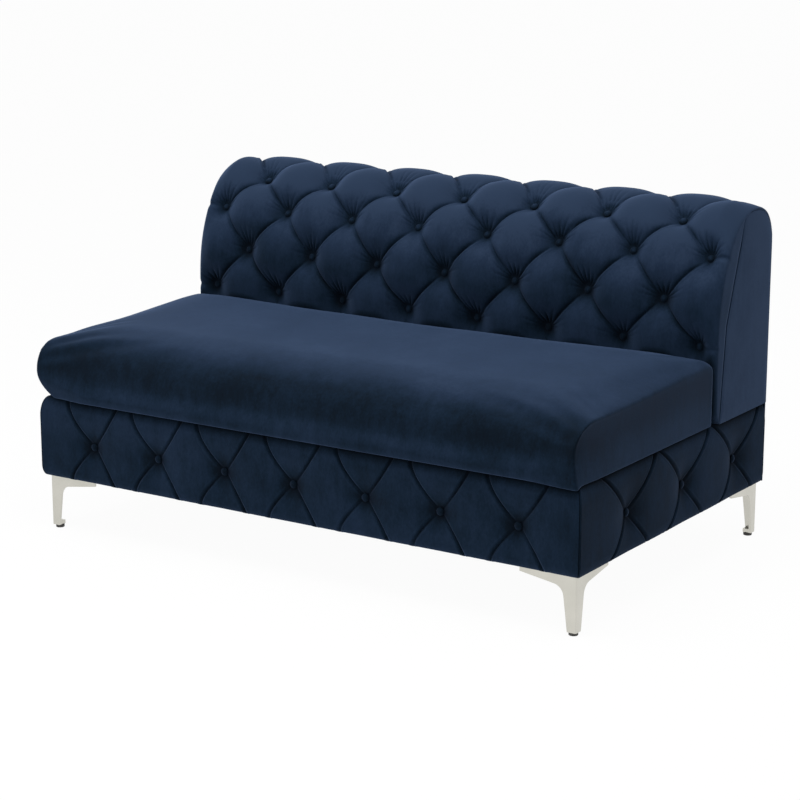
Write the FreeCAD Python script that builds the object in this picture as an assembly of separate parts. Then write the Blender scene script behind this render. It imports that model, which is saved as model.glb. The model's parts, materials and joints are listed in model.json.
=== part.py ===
import FreeCAD, Part
import math
import os
from FreeCAD import Placement, Rotation, Vector

# Armless two-seat sofa: a buttoned base on four angle legs, a loose bench cushion and a deep-buttoned back.
# Sizes are in millimetres. The front faces -Y, up is +Z and the origin is on the floor under the middle.

# Overall sizes
WIDTH = 1500.0
DEPTH = 925.0
LEG_HEIGHT = 140.0
BASE_HEIGHT = 193.0
CUSHION_OVERHANG = 12.0

# Clearances
SOFT_CLEARANCE = 0.3
NAIL_CLEARANCE = 0.05
POCKET_CLEARANCE = 0.4
GLIDE_CLEARANCE = 0.05
COIL_CLEARANCE = 0.15
WIRE_CLEARANCE = 0.05

# Base frame
RAIL_THICKNESS = 25.0
RAIL_DROP = 15.0
SPRING_RAIL_HEIGHT = 110.0
SPRING_RAIL_FROM_REAR = 228.0
STRETCHER_HEIGHT = 90.0
STRETCHER_RAISE = 20.0
CORNER_BLOCK_SIDE = 120.0
CORNER_BLOCK_HEIGHT = 60.0
DUST_COVER_THICKNESS = 0.8
DUST_COVER_EDGE = 3.0

# Seat springs and deck
SPRING_COUNT = 8
SPRING_WIRE_RADIUS = 1.8
SPRING_LOOP_RADIUS = 15.0
SPRING_SWING = 26.0
SPRING_EDGE = 90.0
CLIP_LENGTH = 18.0
CLIP_WIDTH = 16.0
CLIP_WALL = 1.0

# Buttoned base panels, measured outwards from the rails
PANEL_THICKNESS = 25.0
PANEL_EDGE_DEPTH = 12.0
PANEL_EDGE_ROUND = 10.0
PANEL_SEAT_DEPTH = 10.0
PANEL_CORNER_DROP = 5.0
PANEL_PUFF_ARCH = 0.2
PANEL_PUFF_LIMIT = 11.0
PANEL_BUTTON_HEIGHT = 83.0
PANEL_FOLD_TOP_REACH = 0.8
PANEL_FOLD_BOTTOM_REACH = 0.67
FRONT_BUTTON_PITCH = 197.0
SIDE_BUTTON_PITCH = 267.0
SIDE_BUTTON_SHIFT = 36.0
REAR_PANEL_THICKNESS = 8.0

# Backrest frame outline, as distance in front of the base's rear and height above the base's top
FRAME_FOOT = (269.0, 5.0)
FRAME_BEND = (246.0, 227.0)
FRAME_SHOULDER = (177.0, 422.0)
FRAME_CREST = (160.0, 473.0)
FRAME_TOP = (102.0, 470.0)
FRAME_ROUND = (45.0, 446.0)
FRAME_REAR = (19.0, 416.0)
BOARD_THICKNESS = 12.0
RIB_THICKNESS = 25.0
TOP_RAIL_DEPTH = 50.0
BACK_RAIL_HEIGHT = 60.0
BACK_REAR_SETBACK = 12.0
OUTER_PANEL_THICKNESS = 6.0
SIDE_PANEL_ROUND = 5.0

# Line through the button seats of the back pad, in the same terms as the frame outline
PAD_FOOT = (272.0, 5.0)
ROW_4 = (278.0, 179.0)
ROW_3 = (270.0, 279.0)
ROW_2 = (235.0, 377.0)
ROW_1 = (182.0, 448.0)
PAD_CREST = (92.0, 483.0)
PAD_END = (12.5, 412.0)

# Tufts of the back pad
TUFT_COUNT = 7
TUFT_SEAT = 22.0
TUFT_STEPS = 6
LEAST_ARCH = 0.05
PUFF_RISE = 40.0
FOLD_RISE = 22.0
FOOT_RISE = 6.0
FOOT_PLEAT_RISE = 12.0
FOOT_PUFF_RISE = 34.0
CREST_PLEAT_RISE = 5.0
CREST_PUFF_RISE = 18.0
PAD_SIDE_MARGIN = 40.0
PAD_SIDE_STEPS = 4
PAD_SIDE_RISE = 0.4

# Covered buttons, each with a nail
BUTTON_RADIUS = 9.5
BUTTON_RIM = 2.5
BUTTON_DOME = 4.0
BUTTON_SINK = 2.0
NAIL_RADIUS = 1.25
NAIL_BITE = 9.0

# Brackets between the back and the base
BRACKET_THICKNESS = 4.0
BRACKET_WIDTH = 60.0
BRACKET_HEIGHT = 200.0
BRACKET_FROM_REAR = 140.0
BRACKET_HOLE_EDGE = 25.0
SCREW_RADIUS = 3.0
SCREW_HEAD_RADIUS = 6.5
SCREW_HEAD_HEIGHT = 3.5
SCREW_BITE = 20.0

# Angle legs and glides
LEG_INSET = 15.0
LEG_WALL = 6.0
LEG_CORNER_ROUND = 4.0
LEG_FOOT_WIDTH = 22.0
LEG_TAPER = 0.125
LEG_WING = 140.0
LEG_WING_TIP = 16.0
LEG_WING_SLOPE = 0.154
LEG_KNEE_RADIUS = 28.0
LEG_PLATE_THICKNESS = 4.0
LEG_PLATE_TIP = 22.0
LEG_SCREW_FAR = 110.0
LEG_SCREW_NEAR = 22.0
LEG_SCREW_DIAGONAL = 58.0
LEG_SCREW_RADIUS = 2.2
LEG_SCREW_HEAD_RADIUS = 4.5
LEG_SCREW_HEAD_HEIGHT = 2.5
LEG_SCREW_BITE = 30.0
FOOT_PLATE_HEIGHT = 9.0
GLIDE_HEIGHT = 8.0
GLIDE_RADIUS = 10.5
GLIDE_ROUND = 1.5
GLIDE_STUD_RADIUS = 4.0
GLIDE_STUD_LENGTH = 8.0
GLIDE_FROM_CORNER = 13.0

# Seat cushion
CUSHION_SIDE_GAP = 2.0
CUSHION_BACK_GAP = 9.0
CUSHION_SEAM_HEIGHT = 135.0
CUSHION_CROWN = 30.0
CUSHION_END_CROWN = 8.0
CUSHION_FRONT_TUCK = 14.0
CUSHION_SHOULDER = 34.0
CUSHION_BACK_SHOULDER = 24.0
CUSHION_END_DRAW = 7.0
CUSHION_STATIONS = (0.0, 0.35, 0.65, 0.85, 0.95, 1.0)
COVER_THICKNESS = 2.0
GUSSET_THICKNESS = 4.0
ZIP_LENGTH = 1240.0
ZIP_TAPE_HEIGHT = 30.0
ZIP_TAPE_THICKNESS = 1.2
ZIP_COIL_WIDTH = 5.0
ZIP_COIL_HEIGHT = 2.0
ZIP_ABOVE_BOTTOM = 75.0
SLIDER_LENGTH = 14.0
SLIDER_WIDTH = 11.0
SLIDER_WALL = 1.2

# Planes that several pieces share
half_width = WIDTH / 2
base_front = CUSHION_OVERHANG / 2 - DEPTH / 2
base_rear = base_front + DEPTH
base_top = LEG_HEIGHT + BASE_HEIGHT
rail_top = base_top - RAIL_DROP
frame_side = half_width - PANEL_THICKNESS
frame_inside = frame_side - RAIL_THICKNESS
frame_front = base_front + PANEL_THICKNESS
frame_rear = base_rear - REAR_PANEL_THICKNESS
spring_rail_rear = base_rear - SPRING_RAIL_FROM_REAR
spring_rail_front = spring_rail_rear - RAIL_THICKNESS
clip_top = rail_top + 2 * SPRING_WIRE_RADIUS + CLIP_WALL
deck_bottom = clip_top + SOFT_CLEARANCE
back_rear = base_rear - BACK_REAR_SETBACK
rib_rear = back_rear - OUTER_PANEL_THICKNESS
button_height = LEG_HEIGHT + PANEL_BUTTON_HEIGHT
tuft_pitch = WIDTH / (TUFT_COUNT + 0.5)
leg_corner_x = half_width - LEG_INSET
leg_corner_y = base_front + LEG_INSET
rear_leg_corner_y = base_rear - LEG_INSET


def box(x0, x1, y0, y1, z0, z1):
    return Part.makeBox(x1 - x0, y1 - y0, z1 - z0, Vector(x0, y0, z0))


def mirror_x(shape):
    return shape.mirror(Vector(0, 0, 0), Vector(1, 0, 0))


def mirror_y(shape, plane_y):
    return shape.mirror(Vector(0, plane_y, 0), Vector(0, 1, 0))


def side_prism(points, x0, x1):
    """Solid between two x planes whose outline is given as (y, z) points."""
    corners = [Vector(x0, y, z) for y, z in points]
    return Part.Face(Part.makePolygon(corners + corners[:1])).extrude(Vector(x1 - x0, 0, 0))


def plan_prism(points, z0, z1):
    """Solid between two heights whose outline is given as (x, y) points."""
    corners = [Vector(x, y, z0) for x, y in points]
    return Part.Face(Part.makePolygon(corners + corners[:1])).extrude(Vector(0, 0, z1 - z0))


def rod(start, direction, radius, length):
    return Part.makeCylinder(radius, length, start, direction)


def arc(start, middle, end):
    return Part.Arc(start, middle, end).toShape()


def line(start, end):
    return Part.LineSegment(start, end).toShape()


def loft(sections):
    return Part.makeLoft(sections, True, True)


def save(name, *shapes):
    shape = shapes[0] if len(shapes) == 1 else Part.makeCompound(list(shapes))
    shape.exportStep(f"parts/{name}.step")


def back_point(place):
    """Point (y, z) from a distance in front of the base's rear and a height above the base's top."""
    forward, up = place
    return base_rear - forward, base_top + up


def behind_pad(place):
    """The same point on the front or top of the frame, which stays a little inside the pad."""
    y, z = back_point(place)
    return y + SOFT_CLEARANCE, z - SOFT_CLEARANCE


def under_pad(place):
    """The same point on the rear of the frame's top, which stays a little inside the pad."""
    y, z = back_point(place)
    return y - SOFT_CLEARANCE, z - SOFT_CLEARANCE


# Covered buttons

def covered_button(seat, outward, nail_length):
    """Domed cap on a nail: the cap's base is at the seat and the nail runs inwards."""
    ball_radius = (BUTTON_RADIUS ** 2 + BUTTON_DOME ** 2) / (2 * BUTTON_DOME)
    ball_centre = BUTTON_RIM + BUTTON_DOME - ball_radius
    half_turn = math.asin(BUTTON_RADIUS / ball_radius) / 2
    rim = Vector(BUTTON_RADIUS, 0, BUTTON_RIM)
    top = Vector(0, 0, BUTTON_RIM + BUTTON_DOME)
    shoulder = Vector(ball_radius * math.sin(half_turn), 0, ball_centre + ball_radius * math.cos(half_turn))
    bottom = Vector(BUTTON_RADIUS, 0, 0)
    nail_head = Vector(NAIL_RADIUS, 0, 0)
    nail_tip = Vector(NAIL_RADIUS, 0, -nail_length)
    nail_end = Vector(0, 0, -nail_length)
    outline = Part.Wire([
        line(nail_end, nail_tip),
        line(nail_tip, nail_head),
        line(nail_head, bottom),
        line(bottom, rim),
        arc(rim, shoulder, top),
        line(top, nail_end),
    ])
    button = Part.Face(outline).revolve(Vector(0, 0, 0), Vector(0, 0, 1), 360)
    button.Placement = Placement(seat, Rotation(Vector(0, 0, 1), outward))
    return button


def button_space(seat, outward, nail_length):
    """Pocket for the cap, out through the padding, with the bore for its nail."""
    pocket = rod(seat, outward, BUTTON_RADIUS + POCKET_CLEARANCE, PUFF_RISE + PANEL_THICKNESS)
    start = seat - outward * (nail_length + NAIL_CLEARANCE)
    return pocket.fuse(rod(start, outward, NAIL_RADIUS + NAIL_CLEARANCE, nail_length + 2 * NAIL_CLEARANCE))


# Buttoned base panels

def panel_section(fold, drop, place):
    """Closed outline of a base panel. The fold share is 0 at a button and 1 half way to the next."""
    bottom = LEG_HEIGHT
    top = base_top
    half_seat = TUFT_SEAT / 2
    low_share = min(1.0, fold / PANEL_FOLD_BOTTOM_REACH)
    high_share = min(1.0, fold / PANEL_FOLD_TOP_REACH)
    low = button_height - half_seat
    high = button_height + half_seat
    low += (bottom + PANEL_EDGE_ROUND - low) * low_share
    high += (top - PANEL_EDGE_ROUND - high) * high_share
    shoulder = PANEL_EDGE_DEPTH + PANEL_EDGE_ROUND - drop
    edge = PANEL_EDGE_DEPTH - drop
    low_depth = PANEL_SEAT_DEPTH + (shoulder - PANEL_SEAT_DEPTH) * math.sin(low_share * math.pi / 2)
    high_depth = PANEL_SEAT_DEPTH + (shoulder - PANEL_SEAT_DEPTH) * math.sin(high_share * math.pi / 2)
    crown = PANEL_SEAT_DEPTH + (PANEL_THICKNESS - drop - PANEL_SEAT_DEPTH) * math.sqrt(1 - (1 - fold) ** 2)
    crown = max(crown, (low_depth + high_depth) / 2 + LEAST_ARCH)
    knots = [(edge, bottom), (low_depth, low), (high_depth, high), (edge, top)]
    middles = [
        arched(knots[0], knots[1]),
        (crown, (low + high) / 2),
        arched(knots[2], knots[3]),
    ]
    points = [place(depth, z) for depth, z in knots]
    edges = [
        arc(points[index], place(*middle), points[index + 1])
        for index, middle in enumerate(middles)
    ]
    inner_top = place(SOFT_CLEARANCE, top)
    inner_bottom = place(SOFT_CLEARANCE, bottom)
    edges += [line(points[3], inner_top), line(inner_top, inner_bottom), line(inner_bottom, points[0])]
    return Part.Wire(edges)


def arched(start, end):
    """Middle of a puff's arc between two (depth, height) points, standing out from their chord."""
    along = end[0] - start[0], end[1] - start[1]
    chord = math.hypot(*along)
    arch = min(PANEL_PUFF_ARCH * chord, PANEL_PUFF_LIMIT)
    middle = (start[0] + end[0]) / 2, (start[1] + end[1]) / 2
    return middle[0] + along[1] / chord * arch, middle[1] - along[0] / chord * arch


def fold_share(offset, pitch):
    """0 at a button and 1 half way between two buttons."""
    steps = abs(offset) / pitch
    return 1 - abs(1 - 2 * (steps % 1.0))


def button_places(start, end, pitch, centre):
    """Places of the buttons along a panel, each with at least half a pitch less an edge on both sides."""
    room = pitch / 2 - BUTTON_RADIUS
    first = math.ceil((start + room - centre) / pitch)
    last = math.floor((end - room - centre) / pitch)
    return [centre + pitch * index for index in range(first, last + 1)]


def panel_stations(start, end, pitch, centre):
    """Places of the sections along a panel, evenly over each half pitch and kept off the two ends."""
    step = pitch / 2 / TUFT_STEPS
    first = math.ceil((start + step / 2 - centre) / step)
    last = math.floor((end - step / 2 - centre) / step)
    return [centre + step * index for index in range(first, last + 1)]


def base_panel(start, end, pitch, centre, place_at, start_drop, end_drop):
    """Lofted panel between two ends. A drop sets an end's surface back, towards a corner."""
    places = button_places(start, end, pitch, centre)
    sections = []
    for station in [start] + panel_stations(start, end, pitch, centre) + [end]:
        reach = min(max(station, places[0] - pitch / 2), places[-1] + pitch / 2)
        drop = {start: start_drop, end: end_drop}.get(station, 0.0)
        sections.append(panel_section(fold_share(reach - centre, pitch), drop, place_at(station)))
    return loft(sections)


def front_place(station):
    """Maps (depth, height) of the front panel; its two ends are mitred at 45 degrees."""
    mitre = math.copysign(1.0, station) if abs(station) == half_width else 0.0

    def place(depth, z):
        return Vector(station - mitre * (PANEL_THICKNESS - depth), frame_front - depth, z)

    return place


def side_place(station):
    """Maps (depth, height) of the right side panel; its front end is mitred at 45 degrees."""
    mitre = 1.0 if station == base_front + SOFT_CLEARANCE else 0.0

    def place(depth, z):
        return Vector(frame_side + depth, station + mitre * (PANEL_THICKNESS - depth), z)

    return place


def panel_buttons(places, seat_at, outward):
    """Buttons along one panel, and the spaces that they take."""
    nail_length = PANEL_SEAT_DEPTH - BUTTON_SINK + NAIL_BITE
    seats = [seat_at(place) for place in places]
    buttons = [covered_button(seat, outward, nail_length) for seat in seats]
    return buttons, [button_space(seat, outward, nail_length) for seat in seats]


def make_front_panel():
    panel = base_panel(-half_width, half_width, FRONT_BUTTON_PITCH, 0.0, front_place,
                       PANEL_CORNER_DROP, PANEL_CORNER_DROP)
    places = button_places(-half_width, half_width, FRONT_BUTTON_PITCH, 0.0)
    depth = PANEL_SEAT_DEPTH - BUTTON_SINK
    buttons, spaces = panel_buttons(
        places, lambda x: Vector(x, frame_front - depth, button_height), Vector(0, -1, 0))
    save("base_front_panel", panel.cut(spaces))
    save("base_front_buttons", *buttons)
    return spaces


def make_side_panels():
    start = base_front + SOFT_CLEARANCE
    end = frame_rear
    centre = (base_front + base_rear) / 2 + SIDE_BUTTON_SHIFT
    panel = base_panel(start, end, SIDE_BUTTON_PITCH, centre, side_place, PANEL_CORNER_DROP, 0.0)
    places = button_places(start, end, SIDE_BUTTON_PITCH, centre)
    depth = PANEL_SEAT_DEPTH - BUTTON_SINK
    buttons, spaces = panel_buttons(
        places, lambda y: Vector(frame_side + depth, y, button_height), Vector(1, 0, 0))
    right = panel.cut(spaces)
    save("base_right_panel", right)
    save("base_right_buttons", *buttons)
    save("base_left_panel", mirror_x(right))
    save("base_left_buttons", *[mirror_x(button) for button in buttons])
    return spaces


# Base frame

def make_rails(front_spaces, side_spaces, bracket_bores, leg_bores):
    front = box(-frame_side, frame_side, frame_front, frame_front + RAIL_THICKNESS, LEG_HEIGHT, rail_top)
    rear = box(-frame_side, frame_side, frame_rear - RAIL_THICKNESS, frame_rear, LEG_HEIGHT, rail_top)
    right = box(frame_inside, frame_side, frame_front + RAIL_THICKNESS, frame_rear - RAIL_THICKNESS,
                LEG_HEIGHT, rail_top)
    right = right.cut(side_spaces + bracket_bores + leg_bores)
    save("front_rail", front.cut(front_spaces + leg_bores))
    save("rear_rail", rear.cut(leg_bores))
    save("right_rail", right)
    save("left_rail", mirror_x(right))
    spring_rail = box(-frame_inside, frame_inside, spring_rail_front, spring_rail_rear,
                      rail_top - SPRING_RAIL_HEIGHT, rail_top)
    save("spring_rail", spring_rail)
    stretcher_bottom = LEG_HEIGHT + STRETCHER_RAISE
    stretcher_top = stretcher_bottom + STRETCHER_HEIGHT
    save("centre_stretcher", box(-RAIL_THICKNESS / 2, RAIL_THICKNESS / 2, frame_front + RAIL_THICKNESS,
                                 spring_rail_front, stretcher_bottom, stretcher_top))


def make_corner_blocks(leg_bores):
    x = frame_inside
    y = frame_front + RAIL_THICKNESS
    outline = [(x, y), (x - CORNER_BLOCK_SIDE, y), (x, y + CORNER_BLOCK_SIDE)]
    right_front = plan_prism(outline, LEG_HEIGHT, LEG_HEIGHT + CORNER_BLOCK_HEIGHT).cut(leg_bores)
    save("corner_blocks", *four_corners(right_front))


def four_corners(right_front):
    """A piece at the right front corner, with its mirrored copies at the other three corners."""
    middle = (base_front + base_rear) / 2
    right_rear = mirror_y(right_front, middle)
    return [right_front, mirror_x(right_front), right_rear, mirror_x(right_rear)]


def make_rear_panel():
    save("base_rear_panel", box(-half_width + PANEL_CORNER_DROP, half_width - PANEL_CORNER_DROP,
                                frame_rear, base_rear, LEG_HEIGHT, base_top))


def make_dust_cover():
    """Thin cloth under the rails, with its corners cut off beside the leg plates."""
    x = frame_side - DUST_COVER_EDGE
    front = frame_front + DUST_COVER_EDGE
    rear = frame_rear - DUST_COVER_EDGE
    far = LEG_WING + DUST_COVER_EDGE
    near = LEG_PLATE_TIP + DUST_COVER_EDGE
    cut = [(leg_corner_x - far, near), (leg_corner_x - near, far)]
    right_side = [(cut[0][0], front)]
    right_side += [(px, leg_corner_y + py) for px, py in cut]
    right_side += [(x, leg_corner_y + far), (x, rear_leg_corner_y - far)]
    right_side += [(px, rear_leg_corner_y - py) for px, py in reversed(cut)]
    right_side += [(cut[0][0], rear)]
    left_side = [(-px, py) for px, py in reversed(right_side)]
    save("dust_cover", plan_prism(right_side + left_side, LEG_HEIGHT - DUST_COVER_THICKNESS, LEG_HEIGHT))


# Seat springs and deck

def spring_path(x, start, end, z):
    """Flat zig-zag wire from the front tail to the rear tail: runs across joined by half turns."""
    span = end - start - 2 * CLIP_LENGTH
    turns = 2 * int(span / SPRING_LOOP_RADIUS / 4) - 1
    radius = span / (2 * turns + 2)
    bend = radius * math.sqrt(0.5)
    y = start + CLIP_LENGTH
    here = Vector(x + radius, y + radius, z)
    tail = Vector(x, y, z)
    edges = [line(Vector(x, start, z), tail)]
    edges.append(arc(tail, Vector(x + radius - bend, y + bend, z), here))
    side = 1.0
    for _ in range(turns):
        there = Vector(x + side * SPRING_SWING, here.y, z)
        edges.append(line(here, there))
        here = Vector(there.x, there.y + 2 * radius, z)
        edges.append(arc(there, Vector(there.x + side * radius, there.y + radius, z), here))
        side = -side
    last = Vector(x + radius, here.y, z)
    edges.append(line(here, last))
    finish = Vector(x, here.y + radius, z)
    edges.append(arc(last, Vector(x + radius - bend, here.y + radius - bend, z), finish))
    edges.append(line(finish, Vector(x, end, z)))
    return Part.Wire(edges)


def spring_wire(path, start):
    ring = Part.Wire(Part.makeCircle(SPRING_WIRE_RADIUS, start, Vector(0, 1, 0)))
    shell = Part.BRepOffsetAPI.MakePipeShell(path)
    shell.add(ring)
    shell.build()
    shell.makeSolid()
    return shell.shape()


def make_springs():
    z = rail_top + SPRING_WIRE_RADIUS + WIRE_CLEARANCE
    start = frame_front + RAIL_THICKNESS - CLIP_LENGTH
    end = spring_rail_front + CLIP_LENGTH
    first = -frame_inside + SPRING_EDGE
    pitch = -2 * first / (SPRING_COUNT - 1)
    spring = spring_wire(spring_path(first, start, end, z), Vector(first, start, z))
    clip = box(first - CLIP_WIDTH / 2, first + CLIP_WIDTH / 2, start, start + CLIP_LENGTH, rail_top, clip_top)
    channel = rod(Vector(first, start, z), Vector(0, 1, 0), SPRING_WIRE_RADIUS + WIRE_CLEARANCE, CLIP_LENGTH)
    slot_side = SPRING_WIRE_RADIUS + WIRE_CLEARANCE
    slot = box(first - slot_side, first + slot_side, start, start + CLIP_LENGTH, rail_top, z)
    clip = clip.cut([channel, slot])
    rear_clip = clip.translated(Vector(0, end - CLIP_LENGTH - start, 0))
    shifts = [Vector(pitch * index, 0, 0) for index in range(SPRING_COUNT)]
    save("seat_springs", *[spring.translated(shift) for shift in shifts])
    save("spring_clips", *[piece.translated(shift) for shift in shifts for piece in (clip, rear_clip)])


def make_deck():
    """Pad over the springs, up to the feet of the back."""
    x = frame_side - SOFT_CLEARANCE
    rear = back_point(FRAME_FOOT)[0] - SOFT_CLEARANCE
    save("seat_deck", box(-x, x, frame_front + SOFT_CLEARANCE, rear, deck_bottom, base_top))


# Backrest

def seat_line():
    """Smooth line through the button seats, from behind the cushion up and over to the rear."""
    places = [PAD_FOOT, ROW_4, ROW_3, ROW_2, ROW_1, PAD_CREST, PAD_END]
    curve = Part.BSplineCurve()
    curve.interpolate([Vector(0, *back_point(place)) for place in places])
    starts = [curve.length(curve.FirstParameter, curve.parameter(Vector(0, *back_point(place))))
              for place in places[1:]]
    return curve, [0.0] + starts


def raised(curve, distance, rise):
    """Point at a distance along the line, raised square to it."""
    spot = curve.parameterAtDistance(distance, curve.FirstParameter)
    along = curve.tangent(spot)[0]
    return curve.value(spot) + Vector(0, -along.z, along.y) * rise


def pad_section(curve, stops, fold, side_share):
    """Closed outline of the pad. The fold share is 0 on rows 1 and 3 and 1 on rows 2 and 4."""
    foot, row_4, row_3, row_2, row_1, crest, end = stops

    def between(start, stop):
        half_seat = math.copysign(TUFT_SEAT / 2, stop - start)
        return start + half_seat + (stop - start - 2 * half_seat) * fold

    valley = FOLD_RISE * math.sin(math.pi * fold) * side_share
    puff = max(PUFF_RISE * math.sqrt(1 - (1 - fold) ** 2) * side_share, valley + LEAST_ARCH)
    other = max(PUFF_RISE * math.sqrt(1 - fold ** 2) * side_share, valley + LEAST_ARCH)
    swell = math.sqrt(1 - fold ** 2)
    foot_puff = (FOOT_PLEAT_RISE + (FOOT_PUFF_RISE - FOOT_PLEAT_RISE) * swell) * side_share
    crest_puff = (CREST_PLEAT_RISE + (CREST_PUFF_RISE - CREST_PLEAT_RISE) * swell) * side_share
    knots = [
        (foot, FOOT_RISE), (between(row_3, row_4), valley), (between(row_3, row_2), valley),
        (between(row_1, row_2), valley), (between(row_1, crest), valley), (end, 0.0),
    ]
    rises = [foot_puff, puff, other, puff, crest_puff]
    points = [raised(curve, *knot) for knot in knots]
    edges = []
    for index, rise in enumerate(rises):
        middle = (knots[index][0] + knots[index + 1][0]) / 2
        edges.append(arc(points[index], raised(curve, middle, rise), points[index + 1]))
    inner = [FRAME_REAR, FRAME_ROUND, FRAME_TOP, FRAME_CREST, FRAME_SHOULDER, FRAME_BEND, FRAME_FOOT]
    rest = [points[-1]] + [Vector(0, *back_point(place)) for place in inner] + [points[0]]
    edges += [line(rest[index], rest[index + 1]) for index in range(len(rest) - 1)]
    return Part.Wire(edges)


def make_back_pad():
    """Deep-buttoned pad with its buttons; returns the spaces that the buttons and their nails take."""
    curve, stops = seat_line()
    half_pitch = tuft_pitch / 2
    half_steps = int((half_width - PAD_SIDE_MARGIN) / half_pitch)
    step = half_pitch / TUFT_STEPS
    last = half_steps * half_pitch
    outer_fold = half_steps % 2
    stations = []
    for index in range(PAD_SIDE_STEPS):
        share = 1 - (1 - PAD_SIDE_RISE) * ((PAD_SIDE_STEPS - index) / PAD_SIDE_STEPS) ** 2
        x = half_width - (half_width - last) * index / PAD_SIDE_STEPS
        stations.append((-x, outer_fold, share))
    count = 2 * half_steps * TUFT_STEPS
    stations += [(-last + step * index, fold_share(-last + step * index, tuft_pitch), 1.0)
                 for index in range(count + 1)]
    stations += [(-x, fold, share) for x, fold, share in reversed(stations[:PAD_SIDE_STEPS])]
    sections = [pad_section(curve, stops, fold, share).translated(Vector(x, 0, 0))
                for x, fold, share in stations]
    spaces = []
    for row, distance in enumerate(reversed(stops[1:5]), start=1):
        seat, outward, nail_length = row_seat(curve, distance)
        first = -half_steps if (half_steps - row) % 2 else -half_steps + 1
        columns = [half_pitch * index for index in range(first, half_steps + 1, 2)]
        seats = [Vector(x, seat.y, seat.z) for x in columns]
        save(f"back_buttons_row_{row}", *[covered_button(spot, outward, nail_length) for spot in seats])
        spaces += [button_space(spot, outward, nail_length) for spot in seats]
    save("back_pad", loft(sections).cut(spaces))
    return spaces


def row_seat(curve, distance):
    """Seat, outward direction and nail length of one row: the nail bites into the wood behind the pad."""
    seat = raised(curve, distance, -BUTTON_SINK)
    outward = (raised(curve, distance, 1.0) - raised(curve, distance, 0.0)).normalize()
    inner = [FRAME_FOOT, FRAME_BEND, FRAME_SHOULDER, FRAME_CREST, FRAME_TOP]
    outline = Part.makePolygon([Vector(0, *back_point(place)) for place in inner])
    ray = line(seat, seat - outward * DEPTH)
    return seat, outward, ray.distToShape(outline)[1][0][0].distanceToPoint(seat) + NAIL_BITE


def board_behind(lower, upper):
    """Outline of a board whose front runs from one frame point to another."""
    (y0, z0), (y1, z1) = behind_pad(lower), behind_pad(upper)
    length = math.hypot(y1 - y0, z1 - z0)
    back_y = (z1 - z0) / length * BOARD_THICKNESS
    back_z = -(y1 - y0) / length * BOARD_THICKNESS
    return [(y0, z0), (y1, z1), (y1 + back_y, z1 + back_z), (y0 + back_y, z0 + back_z)]


def make_back_frame(button_spaces, bracket_bores):
    lower = board_behind(FRAME_FOOT, FRAME_BEND)
    upper = board_behind(FRAME_BEND, FRAME_SHOULDER)
    bend = meeting_point(lower[3], lower[2], upper[3], upper[2])
    lower_outline = [lower[0], lower[1], bend, lower[3]]
    upper_outline = [upper[0], upper[1], upper[2], bend]
    save("back_lower_board", side_prism(lower_outline, -frame_side, frame_side).cut(button_spaces))
    save("back_upper_board", side_prism(upper_outline, -frame_side, frame_side).cut(button_spaces))
    shoulder_y, shoulder_z = upper[2]
    rail_bottom = shoulder_z - TOP_RAIL_DEPTH
    rail_front = shoulder_y + (rail_bottom - shoulder_z) * (shoulder_y - bend[0]) / (shoulder_z - bend[1])
    rear_top = under_pad(FRAME_REAR)
    top_rail = [
        upper[1], behind_pad(FRAME_CREST), behind_pad(FRAME_TOP), under_pad(FRAME_ROUND), rear_top,
        (rib_rear, rear_top[1] - (rib_rear - rear_top[0])), (rib_rear, rail_bottom),
        (rail_front, rail_bottom), upper[2],
    ]
    save("back_top_rail", side_prism(top_rail, -frame_side, frame_side).cut(button_spaces))
    front_edge = [lower[3], bend, (rail_front, rail_bottom)]
    foot = [(rib_rear, rail_top), (lower[3][0], rail_top)]
    right = side_prism(front_edge + [(rib_rear, rail_bottom)] + foot, frame_inside, frame_side)
    right = right.cut(bracket_bores)
    save("back_right_rib", right)
    save("back_left_rib", mirror_x(right))
    rail_face = rib_rear - RAIL_THICKNESS
    centre = front_edge + [(rail_face, rail_bottom), (rail_face, lower[3][1])]
    save("back_centre_rib", side_prism(centre, -RIB_THICKNESS / 2, RIB_THICKNESS / 2))
    save("back_bottom_rail", box(-frame_inside, frame_inside, rail_face, rib_rear,
                                 lower[3][1], lower[3][1] + BACK_RAIL_HEIGHT))
    save("back_outer_panel", box(-frame_side, frame_side, rib_rear, back_rear,
                                 lower[0][1], behind_pad(PAD_END)[1]))


def meeting_point(a, b, c, d):
    """Where the line through a and b meets the line through c and d."""
    ab = b[0] - a[0], b[1] - a[1]
    cd = d[0] - c[0], d[1] - c[1]
    turn = ab[0] * cd[1] - ab[1] * cd[0]
    share = ((c[0] - a[0]) * cd[1] - (c[1] - a[1]) * cd[0]) / turn
    return a[0] + ab[0] * share, a[1] + ab[1] * share


def make_side_panels_of_back():
    """Plain padded ends of the back, with a softened outer edge."""
    front = [FRAME_FOOT, FRAME_BEND, FRAME_SHOULDER, FRAME_CREST, FRAME_TOP]
    outline = [behind_pad(place) for place in front] + [under_pad(FRAME_ROUND), under_pad(FRAME_REAR)]
    rear_y, rear_z = outline[-1]
    outline += [(back_rear, rear_z - (back_rear - rear_y)), (back_rear, outline[0][1])]
    panel = side_prism(outline, frame_side + SOFT_CLEARANCE, half_width)
    outer_edges = [edge for edge in panel.Edges if edge.BoundBox.XMin > half_width - SIDE_PANEL_ROUND]
    right = panel.makeFillet(SIDE_PANEL_ROUND, outer_edges)
    save("back_right_panel", right)
    save("back_left_panel", mirror_x(right))


# Brackets between the back and the base

def bracket_holes():
    """Screw places on the inner face of the right bracket, above and below the joint of rib and rail."""
    y = base_rear - BRACKET_FROM_REAR
    reach = BRACKET_HEIGHT / 2 - BRACKET_HOLE_EDGE
    side = BRACKET_WIDTH / 2 - BRACKET_HOLE_EDGE / 2
    return [(y + dy, rail_top + dz) for dy in (-side, side) for dz in (-reach, reach)]


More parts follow.
